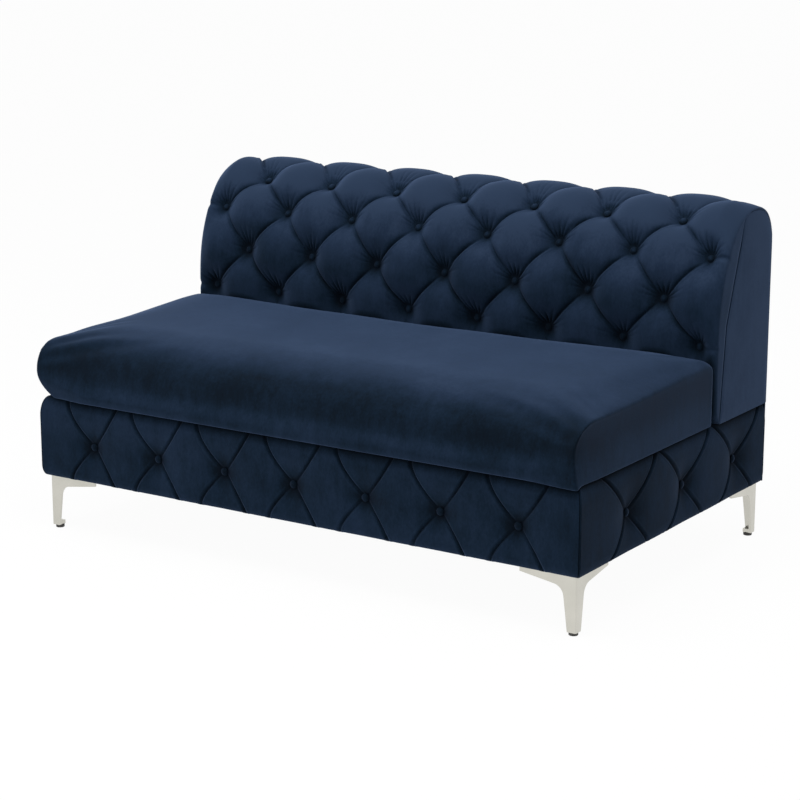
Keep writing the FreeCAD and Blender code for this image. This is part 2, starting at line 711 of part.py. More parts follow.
def make_brackets():
    inner = frame_inside - BRACKET_THICKNESS
    y = base_rear - BRACKET_FROM_REAR
    plate = box(inner, frame_inside, y - BRACKET_WIDTH / 2, y + BRACKET_WIDTH / 2,
                rail_top - BRACKET_HEIGHT / 2, rail_top + BRACKET_HEIGHT / 2)
    outward = Vector(1, 0, 0)
    screws = []
    bores = []
    for hole_y, hole_z in bracket_holes():
        face = Vector(inner, hole_y, hole_z)
        shank_length = BRACKET_THICKNESS + SCREW_BITE
        head = rod(face - outward * SCREW_HEAD_HEIGHT, outward, SCREW_HEAD_RADIUS, SCREW_HEAD_HEIGHT)
        screws.append(head.fuse(rod(face, outward, SCREW_RADIUS, shank_length)))
        bores.append(rod(face, outward, SCREW_RADIUS + NAIL_CLEARANCE, shank_length + NAIL_CLEARANCE))
    plate = plate.cut(bores)
    save("back_right_bracket", plate)
    save("back_left_bracket", mirror_x(plate))
    save("bracket_screws", *screws, *[mirror_x(screw) for screw in screws])
    return bores


# Legs and glides

def leg_side_outline():
    """One face of a leg, as (distance from the corner, height): foot, tapered shank, knee and wing."""
    foot = (LEG_FOOT_WIDTH, GLIDE_HEIGHT)
    tip_low = (LEG_WING, LEG_HEIGHT - LEG_WING_TIP)
    shank = (LEG_FOOT_WIDTH + LEG_TAPER * LEG_HEIGHT, GLIDE_HEIGHT + LEG_HEIGHT)
    wing = (0.0, tip_low[1] - LEG_WING_SLOPE * LEG_WING)
    knee = meeting_point(foot, shank, tip_low, wing)
    return foot, knee, tip_low


def knee_arc(before, corner, after):
    """Start, middle and end of the arc that rounds a corner."""
    to_before = Vector(before[0] - corner[0], before[1] - corner[1], 0).normalize()
    to_after = Vector(after[0] - corner[0], after[1] - corner[1], 0).normalize()
    half_angle = to_before.getAngle(to_after) / 2
    reach = LEG_KNEE_RADIUS / math.tan(half_angle)
    corner_point = Vector(corner[0], corner[1], 0)
    inward = (to_before + to_after).normalize()
    middle = corner_point + inward * (LEG_KNEE_RADIUS / math.sin(half_angle) - LEG_KNEE_RADIUS)
    return corner_point + to_before * reach, middle, corner_point + to_after * reach


def leg_blade():
    """Face of the leg along the front: local x runs inwards from the corner."""
    foot, knee, tip_low = leg_side_outline()
    start, middle, end = knee_arc(foot, knee, tip_low)

    def upright(point):
        return Vector(point[0], 0, point[1])

    corners = [
        upright((0.0, LEG_HEIGHT)), upright((0.0, GLIDE_HEIGHT)), upright(foot), upright(start),
        upright(end), upright(tip_low), upright((LEG_WING, LEG_HEIGHT)),
    ]
    edges = [line(corners[0], corners[1]), line(corners[1], corners[2]), line(corners[2], corners[3]),
             arc(corners[3], upright(middle), corners[4]), line(corners[4], corners[5]),
             line(corners[5], corners[6]), line(corners[6], corners[0])]
    return Part.Face(Part.Wire(edges)).extrude(Vector(0, LEG_WALL, 0))


def leg_in_place(shape):
    """Moves a piece from leg axes, inwards from the corner, to the right front corner."""
    turned = mirror_x(shape)
    return turned.translated(Vector(leg_corner_x, leg_corner_y, 0))


def leg_screw_places():
    return [(LEG_SCREW_FAR, LEG_SCREW_NEAR), (LEG_SCREW_NEAR, LEG_SCREW_FAR),
            (LEG_SCREW_DIAGONAL, LEG_SCREW_DIAGONAL)]


def leg_screw_bores():
    """Screw bores of all four legs, up from the plates."""
    bores = []
    for x, y in leg_screw_places():
        bore = rod(Vector(x, y, LEG_HEIGHT - LEG_PLATE_THICKNESS), Vector(0, 0, 1),
                   LEG_SCREW_RADIUS + NAIL_CLEARANCE, LEG_SCREW_BITE + NAIL_CLEARANCE)
        bores += four_corners(leg_in_place(bore))
    return bores


def make_legs():
    front_blade = leg_blade()
    side_blade = front_blade.mirror(Vector(0, 0, 0), Vector(1, -1, 0))
    plate_top = LEG_HEIGHT
    plate_bottom = LEG_HEIGHT - LEG_PLATE_THICKNESS
    plate = plan_prism([(0.0, 0.0), (LEG_WING, 0.0), (LEG_WING, LEG_PLATE_TIP), (LEG_PLATE_TIP, LEG_WING),
                        (0.0, LEG_WING)], plate_bottom, plate_top)
    foot_side = LEG_FOOT_WIDTH
    foot = box(0.0, foot_side, 0.0, foot_side, GLIDE_HEIGHT, GLIDE_HEIGHT + FOOT_PLATE_HEIGHT)
    leg = front_blade.fuse([side_blade, plate, foot]).removeSplitter()
    corner = [edge for edge in leg.Edges
              if edge.BoundBox.XMax < LEG_CORNER_ROUND and edge.BoundBox.YMax < LEG_CORNER_ROUND]
    leg = leg.makeFillet(LEG_CORNER_ROUND, corner)
    socket = rod(Vector(GLIDE_FROM_CORNER, GLIDE_FROM_CORNER, GLIDE_HEIGHT), Vector(0, 0, 1),
                 GLIDE_STUD_RADIUS + GLIDE_CLEARANCE, GLIDE_STUD_LENGTH + GLIDE_CLEARANCE)
    leg = leg_in_place(leg.cut(socket)).cut(leg_screw_bores())
    names = ["front_right", "front_left", "rear_right", "rear_left"]
    for name, piece in zip(names, four_corners(leg)):
        save(f"leg_{name}", piece)
    for name, piece in zip(names, four_corners(leg_in_place(glide()))):
        save(f"glide_{name}", piece)
    save("leg_screws", *[piece for screw in leg_screws() for piece in four_corners(leg_in_place(screw))])


def glide():
    centre = Vector(GLIDE_FROM_CORNER, GLIDE_FROM_CORNER, 0)
    disc = rod(centre, Vector(0, 0, 1), GLIDE_RADIUS, GLIDE_HEIGHT)
    lower = [edge for edge in disc.Edges if edge.BoundBox.ZMax < GLIDE_ROUND]
    disc = disc.makeFillet(GLIDE_ROUND, lower)
    return disc.fuse(rod(centre, Vector(0, 0, 1), GLIDE_STUD_RADIUS, GLIDE_HEIGHT + GLIDE_STUD_LENGTH))


def leg_screws():
    screws = []
    bottom = LEG_HEIGHT - LEG_PLATE_THICKNESS
    for x, y in leg_screw_places():
        head = rod(Vector(x, y, bottom - LEG_SCREW_HEAD_HEIGHT), Vector(0, 0, 1),
                   LEG_SCREW_HEAD_RADIUS, LEG_SCREW_HEAD_HEIGHT)
        screws.append(head.fuse(rod(Vector(x, y, bottom), Vector(0, 0, 1), LEG_SCREW_RADIUS, LEG_SCREW_BITE)))
    return screws


# Seat cushion

cushion_bottom = base_top + SOFT_CLEARANCE
cushion_half = half_width - CUSHION_SIDE_GAP
cushion_front = base_front - CUSHION_OVERHANG
cushion_back = back_point(ROW_4)[0] - PUFF_RISE - CUSHION_BACK_GAP


def cushion_section(share, inset):
    """Outline of the cushion at a share of its half width: bulged front, crowned top, straight back."""
    x = (cushion_half - inset) * share
    fall = share ** 4
    crown = CUSHION_CROWN + (CUSHION_END_CROWN - CUSHION_CROWN) * fall
    draw = CUSHION_END_DRAW * share ** 8
    front = cushion_front + inset + draw
    back = cushion_back - inset
    bottom = cushion_bottom + inset
    seam = cushion_bottom + CUSHION_SEAM_HEIGHT - inset - draw
    top = seam + crown
    low_front = Vector(x, front + CUSHION_FRONT_TUCK, bottom)
    nose = Vector(x, front, (bottom + seam) / 2)
    high_front = Vector(x, front + CUSHION_FRONT_TUCK, seam)
    top_front = Vector(x, front + CUSHION_FRONT_TUCK + CUSHION_SHOULDER, seam + crown / 2)
    top_back = Vector(x, back - CUSHION_BACK_SHOULDER, seam + crown / 2)
    high_back = Vector(x, back, seam - crown / 2)
    low_back = Vector(x, back, bottom)
    edges = [
        arc(low_front, nose, high_front),
        arc(high_front, shoulder_point(high_front, top_front), top_front),
        arc(top_front, Vector(x, (top_front.y + top_back.y) / 2, top), top_back),
        arc(top_back, shoulder_point(top_back, high_back), high_back),
        line(high_back, low_back),
        line(low_back, low_front),
    ]
    return Part.Wire(edges)


def shoulder_point(start, end):
    """Middle of a shoulder's arc, standing out from its chord."""
    along = end - start
    outward = Vector(0, -along.z, along.y).normalize()
    return (start + end) / 2 + outward * along.Length * PANEL_PUFF_ARCH


def cushion_form(inset):
    shares = [-share for share in reversed(CUSHION_STATIONS[1:])] + list(CUSHION_STATIONS)
    return Part.makeLoft([cushion_section(share, inset) for share in shares], True, False)


def make_cushion():
    """Foam core in a cover of five sewn panels, with a zip along the back."""
    cover = cushion_form(0.0).cut(cushion_form(COVER_THICKNESS))
    save("cushion_core", cushion_form(COVER_THICKNESS + SOFT_CLEARANCE))
    seam_x = cushion_half - GUSSET_THICKNESS
    seam_y = cushion_back - COVER_THICKNESS
    seam_z = cushion_bottom + COVER_THICKNESS
    far = WIDTH
    right = box(seam_x, far, -far, far, -far, far)
    boxing = box(-seam_x, seam_x, seam_y, far, -far, far)
    bottom = box(-seam_x, seam_x, -far, seam_y, -far, seam_z)
    top = box(-seam_x, seam_x, -far, seam_y, seam_z, far)
    right_gusset = cover.common(right)
    save("cushion_right_gusset", right_gusset)
    save("cushion_left_gusset", mirror_x(right_gusset))
    save("cushion_back_boxing", cover.common(boxing))
    save("cushion_bottom_panel", cover.common(bottom))
    save("cushion_top_panel", cover.common(top))


def make_zip():
    z = cushion_bottom + ZIP_ABOVE_BOTTOM
    tape_back = cushion_back + ZIP_TAPE_THICKNESS
    coil_back = tape_back + ZIP_COIL_HEIGHT
    half_tape = ZIP_TAPE_HEIGHT / 2
    half_coil = ZIP_COIL_WIDTH / 2
    end = ZIP_LENGTH / 2
    tape = box(-end, end, cushion_back, tape_back, z - half_tape, z + half_tape)
    coil = box(-end, end, tape_back, coil_back, z - half_coil, z + half_coil)
    save("zip_tape", tape.fuse(coil).removeSplitter())
    half_slider = SLIDER_WIDTH / 2
    body = box(end - SLIDER_LENGTH, end, tape_back + COIL_CLEARANCE, coil_back + COIL_CLEARANCE + SLIDER_WALL,
               z - half_slider, z + half_slider)
    channel = box(end - SLIDER_LENGTH, end, tape_back, coil_back + COIL_CLEARANCE,
                  z - half_coil - COIL_CLEARANCE, z + half_coil + COIL_CLEARANCE)
    save("zip_slider", body.cut(channel))


os.makedirs("parts", exist_ok=True)
leg_bores = leg_screw_bores()
bracket_bores = make_brackets()
front_spaces = make_front_panel()
side_spaces = make_side_panels()
make_rails(front_spaces, side_spaces, bracket_bores, leg_bores)
make_corner_blocks(leg_bores)
make_rear_panel()
make_dust_cover()
make_springs()
make_deck()
make_back_frame(make_back_pad(), bracket_bores)
make_side_panels_of_back()
make_legs()
make_cushion()
make_zip()
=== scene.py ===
import json
import math

import bmesh
import bpy
import numpy as np
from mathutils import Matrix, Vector

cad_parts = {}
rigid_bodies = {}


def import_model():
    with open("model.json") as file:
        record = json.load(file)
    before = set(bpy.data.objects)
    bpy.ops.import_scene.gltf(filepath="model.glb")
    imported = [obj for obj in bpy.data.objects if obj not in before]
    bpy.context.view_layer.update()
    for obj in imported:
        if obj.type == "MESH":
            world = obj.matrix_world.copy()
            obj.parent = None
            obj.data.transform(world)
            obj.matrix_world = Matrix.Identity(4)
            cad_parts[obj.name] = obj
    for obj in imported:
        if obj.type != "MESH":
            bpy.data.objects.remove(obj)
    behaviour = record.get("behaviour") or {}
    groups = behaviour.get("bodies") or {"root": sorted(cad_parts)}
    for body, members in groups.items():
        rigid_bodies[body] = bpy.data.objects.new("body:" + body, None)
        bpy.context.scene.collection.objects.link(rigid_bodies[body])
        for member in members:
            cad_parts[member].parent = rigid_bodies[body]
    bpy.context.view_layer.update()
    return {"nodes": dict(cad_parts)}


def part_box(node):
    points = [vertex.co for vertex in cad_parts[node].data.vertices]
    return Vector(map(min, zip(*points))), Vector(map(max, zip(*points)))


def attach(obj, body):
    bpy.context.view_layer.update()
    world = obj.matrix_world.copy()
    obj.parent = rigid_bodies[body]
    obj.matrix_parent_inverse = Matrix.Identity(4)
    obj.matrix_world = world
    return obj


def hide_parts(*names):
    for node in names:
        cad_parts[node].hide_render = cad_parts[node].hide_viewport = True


# Armless two-seat sofa in navy velvet. Sizes are in metres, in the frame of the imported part.

SIDES = ((-1, "left"), (1, "right"))

# Back pad: line through its button seats, as (y, z), from the foot to the rear edge of the rolled top, and
# the row number at each of its points. The rows of buttons are 1 to 4.
PAD_LINE = [
    (0.1965, 0.3345), (0.1905, 0.512), (0.1985, 0.612), (0.2335, 0.710),
    (0.2865, 0.779), (0.3890, 0.8095), (0.4290, 0.7865), (0.4530, 0.7410),
]
PAD_ROWS = [-0.74, 1.0, 2.0, 3.0, 4.0, 5.0, 5.55, 6.0]
BUTTON_ROWS = 4
FIRST_ROW, LAST_ROW = 1.0, 5.0
LAST_COLUMN = 7
HALF_PITCH = 0.100
PAD_HALF_WIDTH = 0.750
PAD_STEP = 0.0021
PAD_EDGE_STEPS = (0.0002, 0.0006, 0.0013, 0.004)

# Outer line of the wooden back frame, as (y, z), and the least cover over it
FRAME_LINE = [
    (0.1995, 0.338), (0.2225, 0.560), (0.2915, 0.755), (0.3085, 0.806),
    (0.3665, 0.803), (0.4235, 0.779), (0.4495, 0.749),
]
FRAME_COVER, FRAME_POINTS = 0.0015, 500

# Puffs and folds of the pad: how far they stand off the button seats, and how wide they are
FOLD_SPACING = HALF_PITCH * math.sqrt(2)
FOLD_RISE, CREST_FOLD = 0.027, 0.009
FOLD_DEPTH, FOLD_WIDTH = 0.0085, 0.0050
DOME_RISE, DOME_FULLNESS = 0.0130, 2.7
TUFT_SEAT, TUFT_WIDTH, TUFT_FADE = 0.0085, 0.030, 1.3
LIP_RISE, LIP_OFFSET, LIP_WIDTH = 0.0022, 0.0065, 0.0030

# Foot, rear edge and ends of the pad; the ends change from the row TOP_END_FROM upwards
FOOT_SHARE, FOOT_RISE, FOOT_ROUND = 0.8, 0.006, 0.020
REAR_FULLNESS = 2.5
TOP_END_FROM = 3.6
END_RISE, TOP_END_RISE = 0.022, 0.007
END_ROUND, END_ROUND_DEPTH, TOP_ROUND_LOSS = 0.022, 0.014, 0.6
END_PLEAT, END_PLEAT_WIDTH, END_PLEAT_ROWS = 0.004, 0.007, (1.0, 3.0)
END_FOOT_ROWS, END_FOOT_SHARE = 0.2, 0.35
STRIP_STEPS, STRIP_INSET = 6, 0.0010
STRIP_DIP, STRIP_DIP_FROM = 0.0016, 0.7

# Fine gathers that run out from the back buttons, with the ranges that are drawn for each button
GATHER_SEED = 7
GATHER_PHASES, GATHER_WOBBLES, GATHER_SHARES = (0, 6.28), (0.5, 1.5), (0.6, 1.1)
GATHER_DEPTH, GATHER_COUNT, GATHER_SHARPNESS = 0.0056, 18, 1.5
GATHER_NEAR, GATHER_EDGE, GATHER_START, GATHER_FAR = 0.010, 0.006, 0.024, 0.078
GATHER_UNEVEN = 0.2
GATHER_SIDEWAYS, GATHER_UPWARDS = 0.15, 0.9

# Plain sides of the back: outline as (y, z), then places and thicknesses outwards from the frame
SIDE_OUTLINE = [
    (0.1995, 0.3315), (0.2230, 0.560), (0.2630, 0.672), (0.2860, 0.737), (0.2930, 0.765), (0.2990, 0.787),
    (0.3080, 0.800), (0.3240, 0.807), (0.3470, 0.810), (0.3700, 0.8095), (0.3900, 0.8065), (0.4080, 0.8000),
    (0.4240, 0.7900), (0.4380, 0.7765), (0.4490, 0.7600), (0.4550, 0.7430), (0.4563, 0.720), (0.4563, 0.3315),
]
SIDE_STEP = 0.006
SIDE_INNER, SIDE_THICKNESS = 0.7256, 0.0230
SIDE_EDGE, SIDE_EDGE_TURNS = 0.0016, (0.2, 1.0, 4)
SIDE_FACE, SIDE_CROWN, SIDE_FACE_SHARES = 0.7503, 0.0010, (0.85, 0.6, 0.3)

# Flat padded panels; the reaches are how far two of them go past their CAD boxes, down and up, so that no
# wood shows between them
SLAB_POINTS = (60, 40)
SLAB_EDGE_STEPS = np.array([0.0, 0.1, 0.3, 0.6, 1.0, 1.5])
SLAB_DROP_LIMIT = 0.8
OUTER_BACK_REACH, BASE_REAR_REACH = (0.0175, 0.004), (0.005, 0.0)

# Buttoned base panels: depth is measured outwards from the rails
BASE_BOTTOM, BASE_TOP = 0.135, 0.333
RAIL_FRONT, RAIL_SIDE = -0.4315, 0.725
FRONT_HALF, FRONT_END_ROUNDS = 0.7465, (0.001, 0.001)
PANEL_FRONT, PANEL_REAR, SIDE_END_ROUNDS = -0.4566, 0.4605, (0.0025, 0.008)
BUTTON_Z = 0.223
# Each layout is the buttons' pitch, middle and count, the reach of the upper folds in half pitches, and
# how much the folds bend
FRONT_LAYOUT = (0.197, 0.0, 7, 0.78, 1.35)
SIDE_LAYOUT = (0.267, 0.042, 3, 0.95, 0.95)
FOLD_BOTTOM_REACH = 0.67
PANEL_DEPTH, PANEL_LEAST_DEPTH, PANEL_INNER = 0.0255, 0.002, 0.0004
DIMPLE_DEPTH, DIMPLE_SEAT, DIMPLE_WIDTH, DIMPLE_FADE = 0.0170, 0.0085, 0.040, 1.25
CREASE_DEPTH, CREASE_WIDTH, CREASE_LOSS = 0.0080, 0.0042, 0.75
CREASE_LIP, LIP_AWAY, LIP_SPREAD = 0.0014, 0.0065, 0.003
TOP_ROUND, TOP_ROUND_DEPTH = 0.050, 0.0180
FOOT_EDGE_ROUND, FOOT_EDGE_DEPTH = 0.026, 0.009
FOLD_END_DROP, FOLD_END_WIDTH, FOLD_END_HEIGHT = 0.0028, 0.0050, 0.006
CORNER_REACH = 0.050
PANEL_STEP = 0.002
PANEL_EDGE_STEPS = (0.0002, 0.0006, 0.0013, 0.003)

# Seat cushion: outline of its end, and how far it is crowned before it is filled. Places along its depth
# are shares, 0 at the front and 1 at the rear.
CUSHION_HALF = 0.7475
CUSHION_FRONT, CUSHION_BACK = -0.4665, 0.1405
CUSHION_BOTTOM, CUSHION_SEAM = 0.3335, 0.468
FRONT_RADIUS_TOP, FRONT_RADIUS_FOOT = 0.068, 0.007
BACK_RADIUS = 0.020
TURN_POINTS = 9
TURN_MIDDLE = TURN_POINTS // 2
CROWN, CROWN_FOOT, CROWN_END_POWER, CROWN_FRONT = 0.021, 0.40, 40, 0.3
CROWN_REAR_SHARE, CROWN_REAR_FROM = 0.90, 0.85
REAR_RISE, REAR_RISE_FROM = 0.012, 0.25
REAR_EAR, EAR_FROM, EAR_REACH, EAR_DEPTH_FROM = 0.024, 0.70, 0.04, 0.88
TUCK_FROM, TUCK_DEPTH, TUCK_HEIGHT, TUCK_BACK = 0.60, 0.07, 0.065, 0.2
LEFT_TUCK, RIGHT_TUCK, RIGHT_CORNER_TUCK = 0.046, 0.004, 0.014
FRONT_DROOP, CORNER_DROOP, DROOP_DEPTH = 0.003, 0.006, 0.022
GUSSET_SWELL = 0.003
SEAM_RIDGE = 0.0010
CUSHION_STEP = 0.009
LENGTH_POINTS, UPRIGHT_POINTS = 67, 17

# Filling of the cushion: what is held still, and how far a point may move
HELD_HEIGHT, HELD_REAR = 0.345, 0.003
FILL_LIMIT = 0.010
FILL_PRESSURE = 4.0
FILL_FRAMES = 20
TINY = 1e-9

# Dust cover: mesh step, cut at the corners, and how far it hangs
DUST_STEP, DUST_CUT = 0.02, 0.165
DUST_SAG, DUST_CLEARANCE = 0.004, 0.0004

# Camera of the photograph
CAMERA_PLACE = (2.9296, -4.4490, 1.6257)
CAMERA_TARGET = (-0.0056, 0.0060, 0.3283)
CAMERA_LENS = 102.16
CAMERA_SENSOR = 36.0

# Floor and surround: shares of plain white in what is seen, and the light that the surround gives
FLOOR_HALF = 30.0
FLOOR_COLOUR, FLOOR_WHITE = (0.86, 0.86, 0.86, 1.0), 0.96
SURROUND_LIGHT, SURROUND_SEEN = 0.55, 0.45
WHITE = (1.0, 1.0, 1.0, 1.0)

# Velvet: linear colours by tone, from crushed to brushed pale, and what the tone is made of. The tone mixes
# random patches of the pile with painted light and shade: lighter on faces that point up or down, and painted
# shade in folds and button hollows.
TONE_AND_SHADE_COLOURS = [
    (0.20, (0.0005, 0.0020, 0.0045)), (0.36, (0.0011, 0.0042, 0.0086)), (0.52, (0.0030, 0.0088, 0.0185)),
    (0.80, (0.0085, 0.0175, 0.0370)), (1.0, (0.0150, 0.0270, 0.0530)),
]
PATCH_SHARE, STROKE_SHARE, SPECKLE_SHARE, LEVEL_FACE_LIGHT_SHARE = 0.55, 0.45, 0.30, 0.28
HOLLOW_SHADE, FOLD_SHADE = 0.42, 0.6
FOLD_SHADE_REACH, FOLD_SHADE_POWER, FOLD_SHADE_SAMPLES = 0.026, 1.8, 6
SHEEN, SIDE_SHEEN = 0.32, 0.16
SHEEN_TINT = (0.22, 0.34, 0.62, 1.0)
PILE_SHARE = 0.3
# Painted light and shade added to the velvet's tone by height, as (height, tone): a painted dark band across
# the cushion's upper front, and painted light towards the top of the back
SEAT_LIGHT_AND_SHADE_BANDS = [(0.33, 0.05), (0.375, -0.03), (0.425, -0.25), (0.455, -0.26), (0.480, -0.04), (0.50, 0.0)]
BACK_LIGHT_AND_SHADE_BANDS = [(0.48, 0.0), (0.60, -0.10), (0.70, 0.06), (0.77, 0.14), (0.83, 0.26)]


def empty_scene():
    for item in list(bpy.data.objects):
        bpy.data.objects.remove(item)


# Materials

def put(tree, kind, **inputs):
    """Adds a node; an input given as another node's output is linked to it."""
    made = tree.nodes.new(kind)
    for name, value in inputs.items():
        feed(tree, made.inputs[name.replace("_", " ")], value)
    return made


def feed(tree, socket, value):
    """Links a socket to another node's output, or sets it to a plain value."""
    if isinstance(value, bpy.types.NodeSocket):
        tree.links.new(value, socket)
    else:
        socket.default_value = value


def maths(tree, operation, first, second):
    made = tree.nodes.new("ShaderNodeMath")
    made.operation = operation
    for socket, value in zip(made.inputs, (first, second)):
        feed(tree, socket, value)
    return made.outputs[0]


def scaled(tree, value, share, base):
    """A value times a share, added to a base."""
    return maths(tree, "ADD", maths(tree, "MULTIPLY", value, share), base)


def weighted(tree, *parts):
    """Sum of (value, share) parts."""
    total = 0.0
    for value, share in parts:
        total = scaled(tree, value, share, total)
    return total


def ramp(tree, factor, *stops):
    """Colour ramp with stops given as (place, colour)."""
    made = tree.nodes.new("ShaderNodeValToRGB")
    elements = made.color_ramp.elements
    while len(elements) < len(stops):
        elements.new(0.5)
    for element, (place, colour) in zip(elements, stops):
        element.position = place
        element.color = (*colour, 1.0)
    tree.links.new(factor, made.inputs["Fac"])
    return made.outputs["Color"]


def noise(tree, place, scale, detail=2.0, roughness=0.5):
    return put(tree, "ShaderNodeTexNoise", Vector=place, Scale=scale, Detail=detail,
               Roughness=roughness).outputs["Fac"]


def stretched(tree, place, scale):
    return put(tree, "ShaderNodeMapping", Vector=place, Scale=scale).outputs["Vector"]


def material_base(name, **sockets):
    """New material; the values given are set on its main shader, and stay where no node drives them."""
    material = bpy.data.materials.new(name)
    material.use_nodes = True
    tree = material.node_tree
    shader = tree.nodes["Principled BSDF"]
    for socket, value in sockets.items():
        shader.inputs[socket.replace("_", " ")].default_value = value
    place = tree.nodes.new("ShaderNodeTexCoord").outputs["Object"]
    return material, tree, shader, place


def colour_by(tree, shader, factor, *stops):
    tree.links.new(ramp(tree, factor, *stops), shader.inputs["Base Color"])


def roughness_by(tree, shader, value, share, base):
    tree.links.new(scaled(tree, value, share, base), shader.inputs["Roughness"])


def bump(tree, shader, height, strength, distance):
    made = put(tree, "ShaderNodeBump", Height=height, Strength=strength, Distance=distance)
    tree.links.new(made.outputs["Normal"], shader.inputs["Normal"])


def velvet(name, painted_light_offset, bands=None, sheen=SHEEN):
    """Short-pile velvet: brushed patches lie darker or lighter, folds are painted dark, and the pile has a
    sheen.

    Painted light and shade are mixed into the colour: lighter where a face points up or down, painted shade
    in folds and button hollows, which also dims the sheen. Bands are (height, tone) stops of painted light
    and shade by height."""
    material, tree, shader, place = material_base(
        name, Roughness=0.82, Specular_IOR_Level=0.04, Sheen_Weight=sheen, Sheen_Roughness=0.42,
        Sheen_Tint=SHEEN_TINT)
    patches = noise(tree, place, scale=4.5, detail=3.0, roughness=0.55)
    strokes = noise(tree, stretched(tree, place, (1.0, 1.0, 0.35)), scale=44.0, detail=6.0, roughness=0.66)
    speckle = noise(tree, stretched(tree, place, (1.0, 1.0, 0.6)), scale=210.0, detail=3.0, roughness=0.6)
    pile = noise(tree, place, scale=900.0, detail=1.0)
    normal = tree.nodes.new("ShaderNodeNewGeometry").outputs["Normal"]
    up = put(tree, "ShaderNodeSeparateXYZ", Vector=normal).outputs["Z"]
    # The last part is painted light: the tone is lighter where a face points up or down
    tone_and_shade = weighted(tree, (patches, PATCH_SHARE), (strokes, STROKE_SHARE),
                   (maths(tree, "SUBTRACT", speckle, 0.5), SPECKLE_SHARE),
                   (maths(tree, "ABSOLUTE", up, 0.0), LEVEL_FACE_LIGHT_SHARE))
    # Offset of painted light or shade for this copy of the velvet
    tone_and_shade = maths(tree, "ADD", tone_and_shade, painted_light_offset)
    # Painted light and shade by height
    if bands:
        tone_and_shade = maths(tree, "ADD", tone_and_shade, height_bands(tree, place, bands))
    # Painted shade in the button hollows stored on the mesh
    hollow = tree.nodes.new("ShaderNodeAttribute")
    hollow.attribute_name = "hollow"
    tone_and_shade = scaled(tree, hollow.outputs["Fac"], -HOLLOW_SHADE, tone_and_shade)
    # Painted shade in folds and hollows, from an ambient-occlusion node
    unshaded = unshaded_share(tree)
    tone_and_shade = scaled(tree, maths(tree, "SUBTRACT", 1.0, unshaded), -FOLD_SHADE, tone_and_shade)
    colour_by(tree, shader, tone_and_shade, *TONE_AND_SHADE_COLOURS)
    # The painted fold shade also dims the sheen
    tree.links.new(maths(tree, "MULTIPLY", unshaded, sheen), shader.inputs["Sheen Weight"])
    roughness_by(tree, shader, strokes, share=0.2, base=0.72)
    bump(tree, shader, scaled(tree, pile, PILE_SHARE, strokes), strength=0.16, distance=0.0012)
    return material


def height_bands(tree, place, bands):
    """Painted light and shade added to the velvet's tone by height, from (height, tone) stops."""
    height = put(tree, "ShaderNodeSeparateXYZ", Vector=place).outputs["Z"]
    low, high = bands[0][0], bands[-1][0]
    share = maths(tree, "DIVIDE", maths(tree, "SUBTRACT", height, low), high - low)
    stops = [((level - low) / (high - low), (0.5 + tone_and_shade,) * 3) for level, tone_and_shade in bands]
    return maths(tree, "SUBTRACT", ramp(tree, share, *stops), 0.5)


def unshaded_share(tree):
    """1 on open pile, less inside folds and button hollows: painted shade from an ambient-occlusion node."""
    shade = put(tree, "ShaderNodeAmbientOcclusion", Distance=FOLD_SHADE_REACH)
    shade.samples = FOLD_SHADE_SAMPLES
    return maths(tree, "POWER", shade.outputs["AO"], FOLD_SHADE_POWER)


def satin_nickel():
    material, tree, shader, place = material_base("satin_nickel", Metallic=1.0, Roughness=0.3)
    grain = noise(tree, stretched(tree, place, (1.0, 1.0, 0.04)), scale=900.0)
    cloud = noise(tree, place, scale=9.0, detail=3.0)
    colour_by(tree, shader, cloud, (0.3, (0.54, 0.53, 0.475)), (0.7, (0.62, 0.605, 0.55)))
    roughness_by(tree, shader, grain, share=0.14, base=0.24)
    bump(tree, shader, grain, strength=0.05, distance=0.0003)
    return material


def spring_steel():
    material, tree, shader, place = material_base("spring_steel", Metallic=1.0, Roughness=0.4)
    cloud = noise(tree, place, scale=60.0, detail=4.0, roughness=0.65)
    colour_by(tree, shader, cloud, (0.35, (0.20, 0.20, 0.21)), (0.7, (0.42, 0.42, 0.43)))
    roughness_by(tree, shader, cloud, share=0.3, base=0.25)
    bump(tree, shader, cloud, strength=0.08, distance=0.0004)
    return material


def zip_brass():
    material, tree, shader, place = material_base("zip_brass", Metallic=1.0, Roughness=0.35)
    cloud = noise(tree, place, scale=160.0, detail=3.0)
    colour_by(tree, shader, cloud, (0.3, (0.30, 0.20, 0.08)), (0.75, (0.55, 0.40, 0.18)))
    bump(tree, shader, cloud, strength=0.06, distance=0.0002)
    return material


def glide_plastic():
    material, tree, shader, place = material_base("glide_plastic", Roughness=0.5, Specular_IOR_Level=0.4)
    speck = noise(tree, place, scale=420.0, detail=3.0, roughness=0.6)
    colour_by(tree, shader, speck, (0.3, (0.020, 0.019, 0.018)), (0.75, (0.052, 0.050, 0.047)))
    roughness_by(tree, shader, speck, share=0.25, base=0.4)
    bump(tree, shader, speck, strength=0.1, distance=0.0003)
    return material


def frame_wood():
    material, tree, shader, place = material_base("frame_wood", Roughness=0.6, Specular_IOR_Level=0.3)
    grain = noise(tree, stretched(tree, place, (0.6, 5.0, 5.0)), scale=14.0, detail=5.0, roughness=0.6)
    pores = noise(tree, stretched(tree, place, (0.15, 4.0, 4.0)), scale=160.0)
    mixed = weighted(tree, (grain, 0.75), (pores, 0.25))
    colour_by(tree, shader, mixed, (0.32, (0.30, 0.17, 0.075)), (0.5, (0.46, 0.29, 0.14)),
              (0.68, (0.56, 0.38, 0.20)))
    roughness_by(tree, shader, pores, share=0.25, base=0.5)
    bump(tree, shader, pores, strength=0.18, distance=0.0005)
    return material


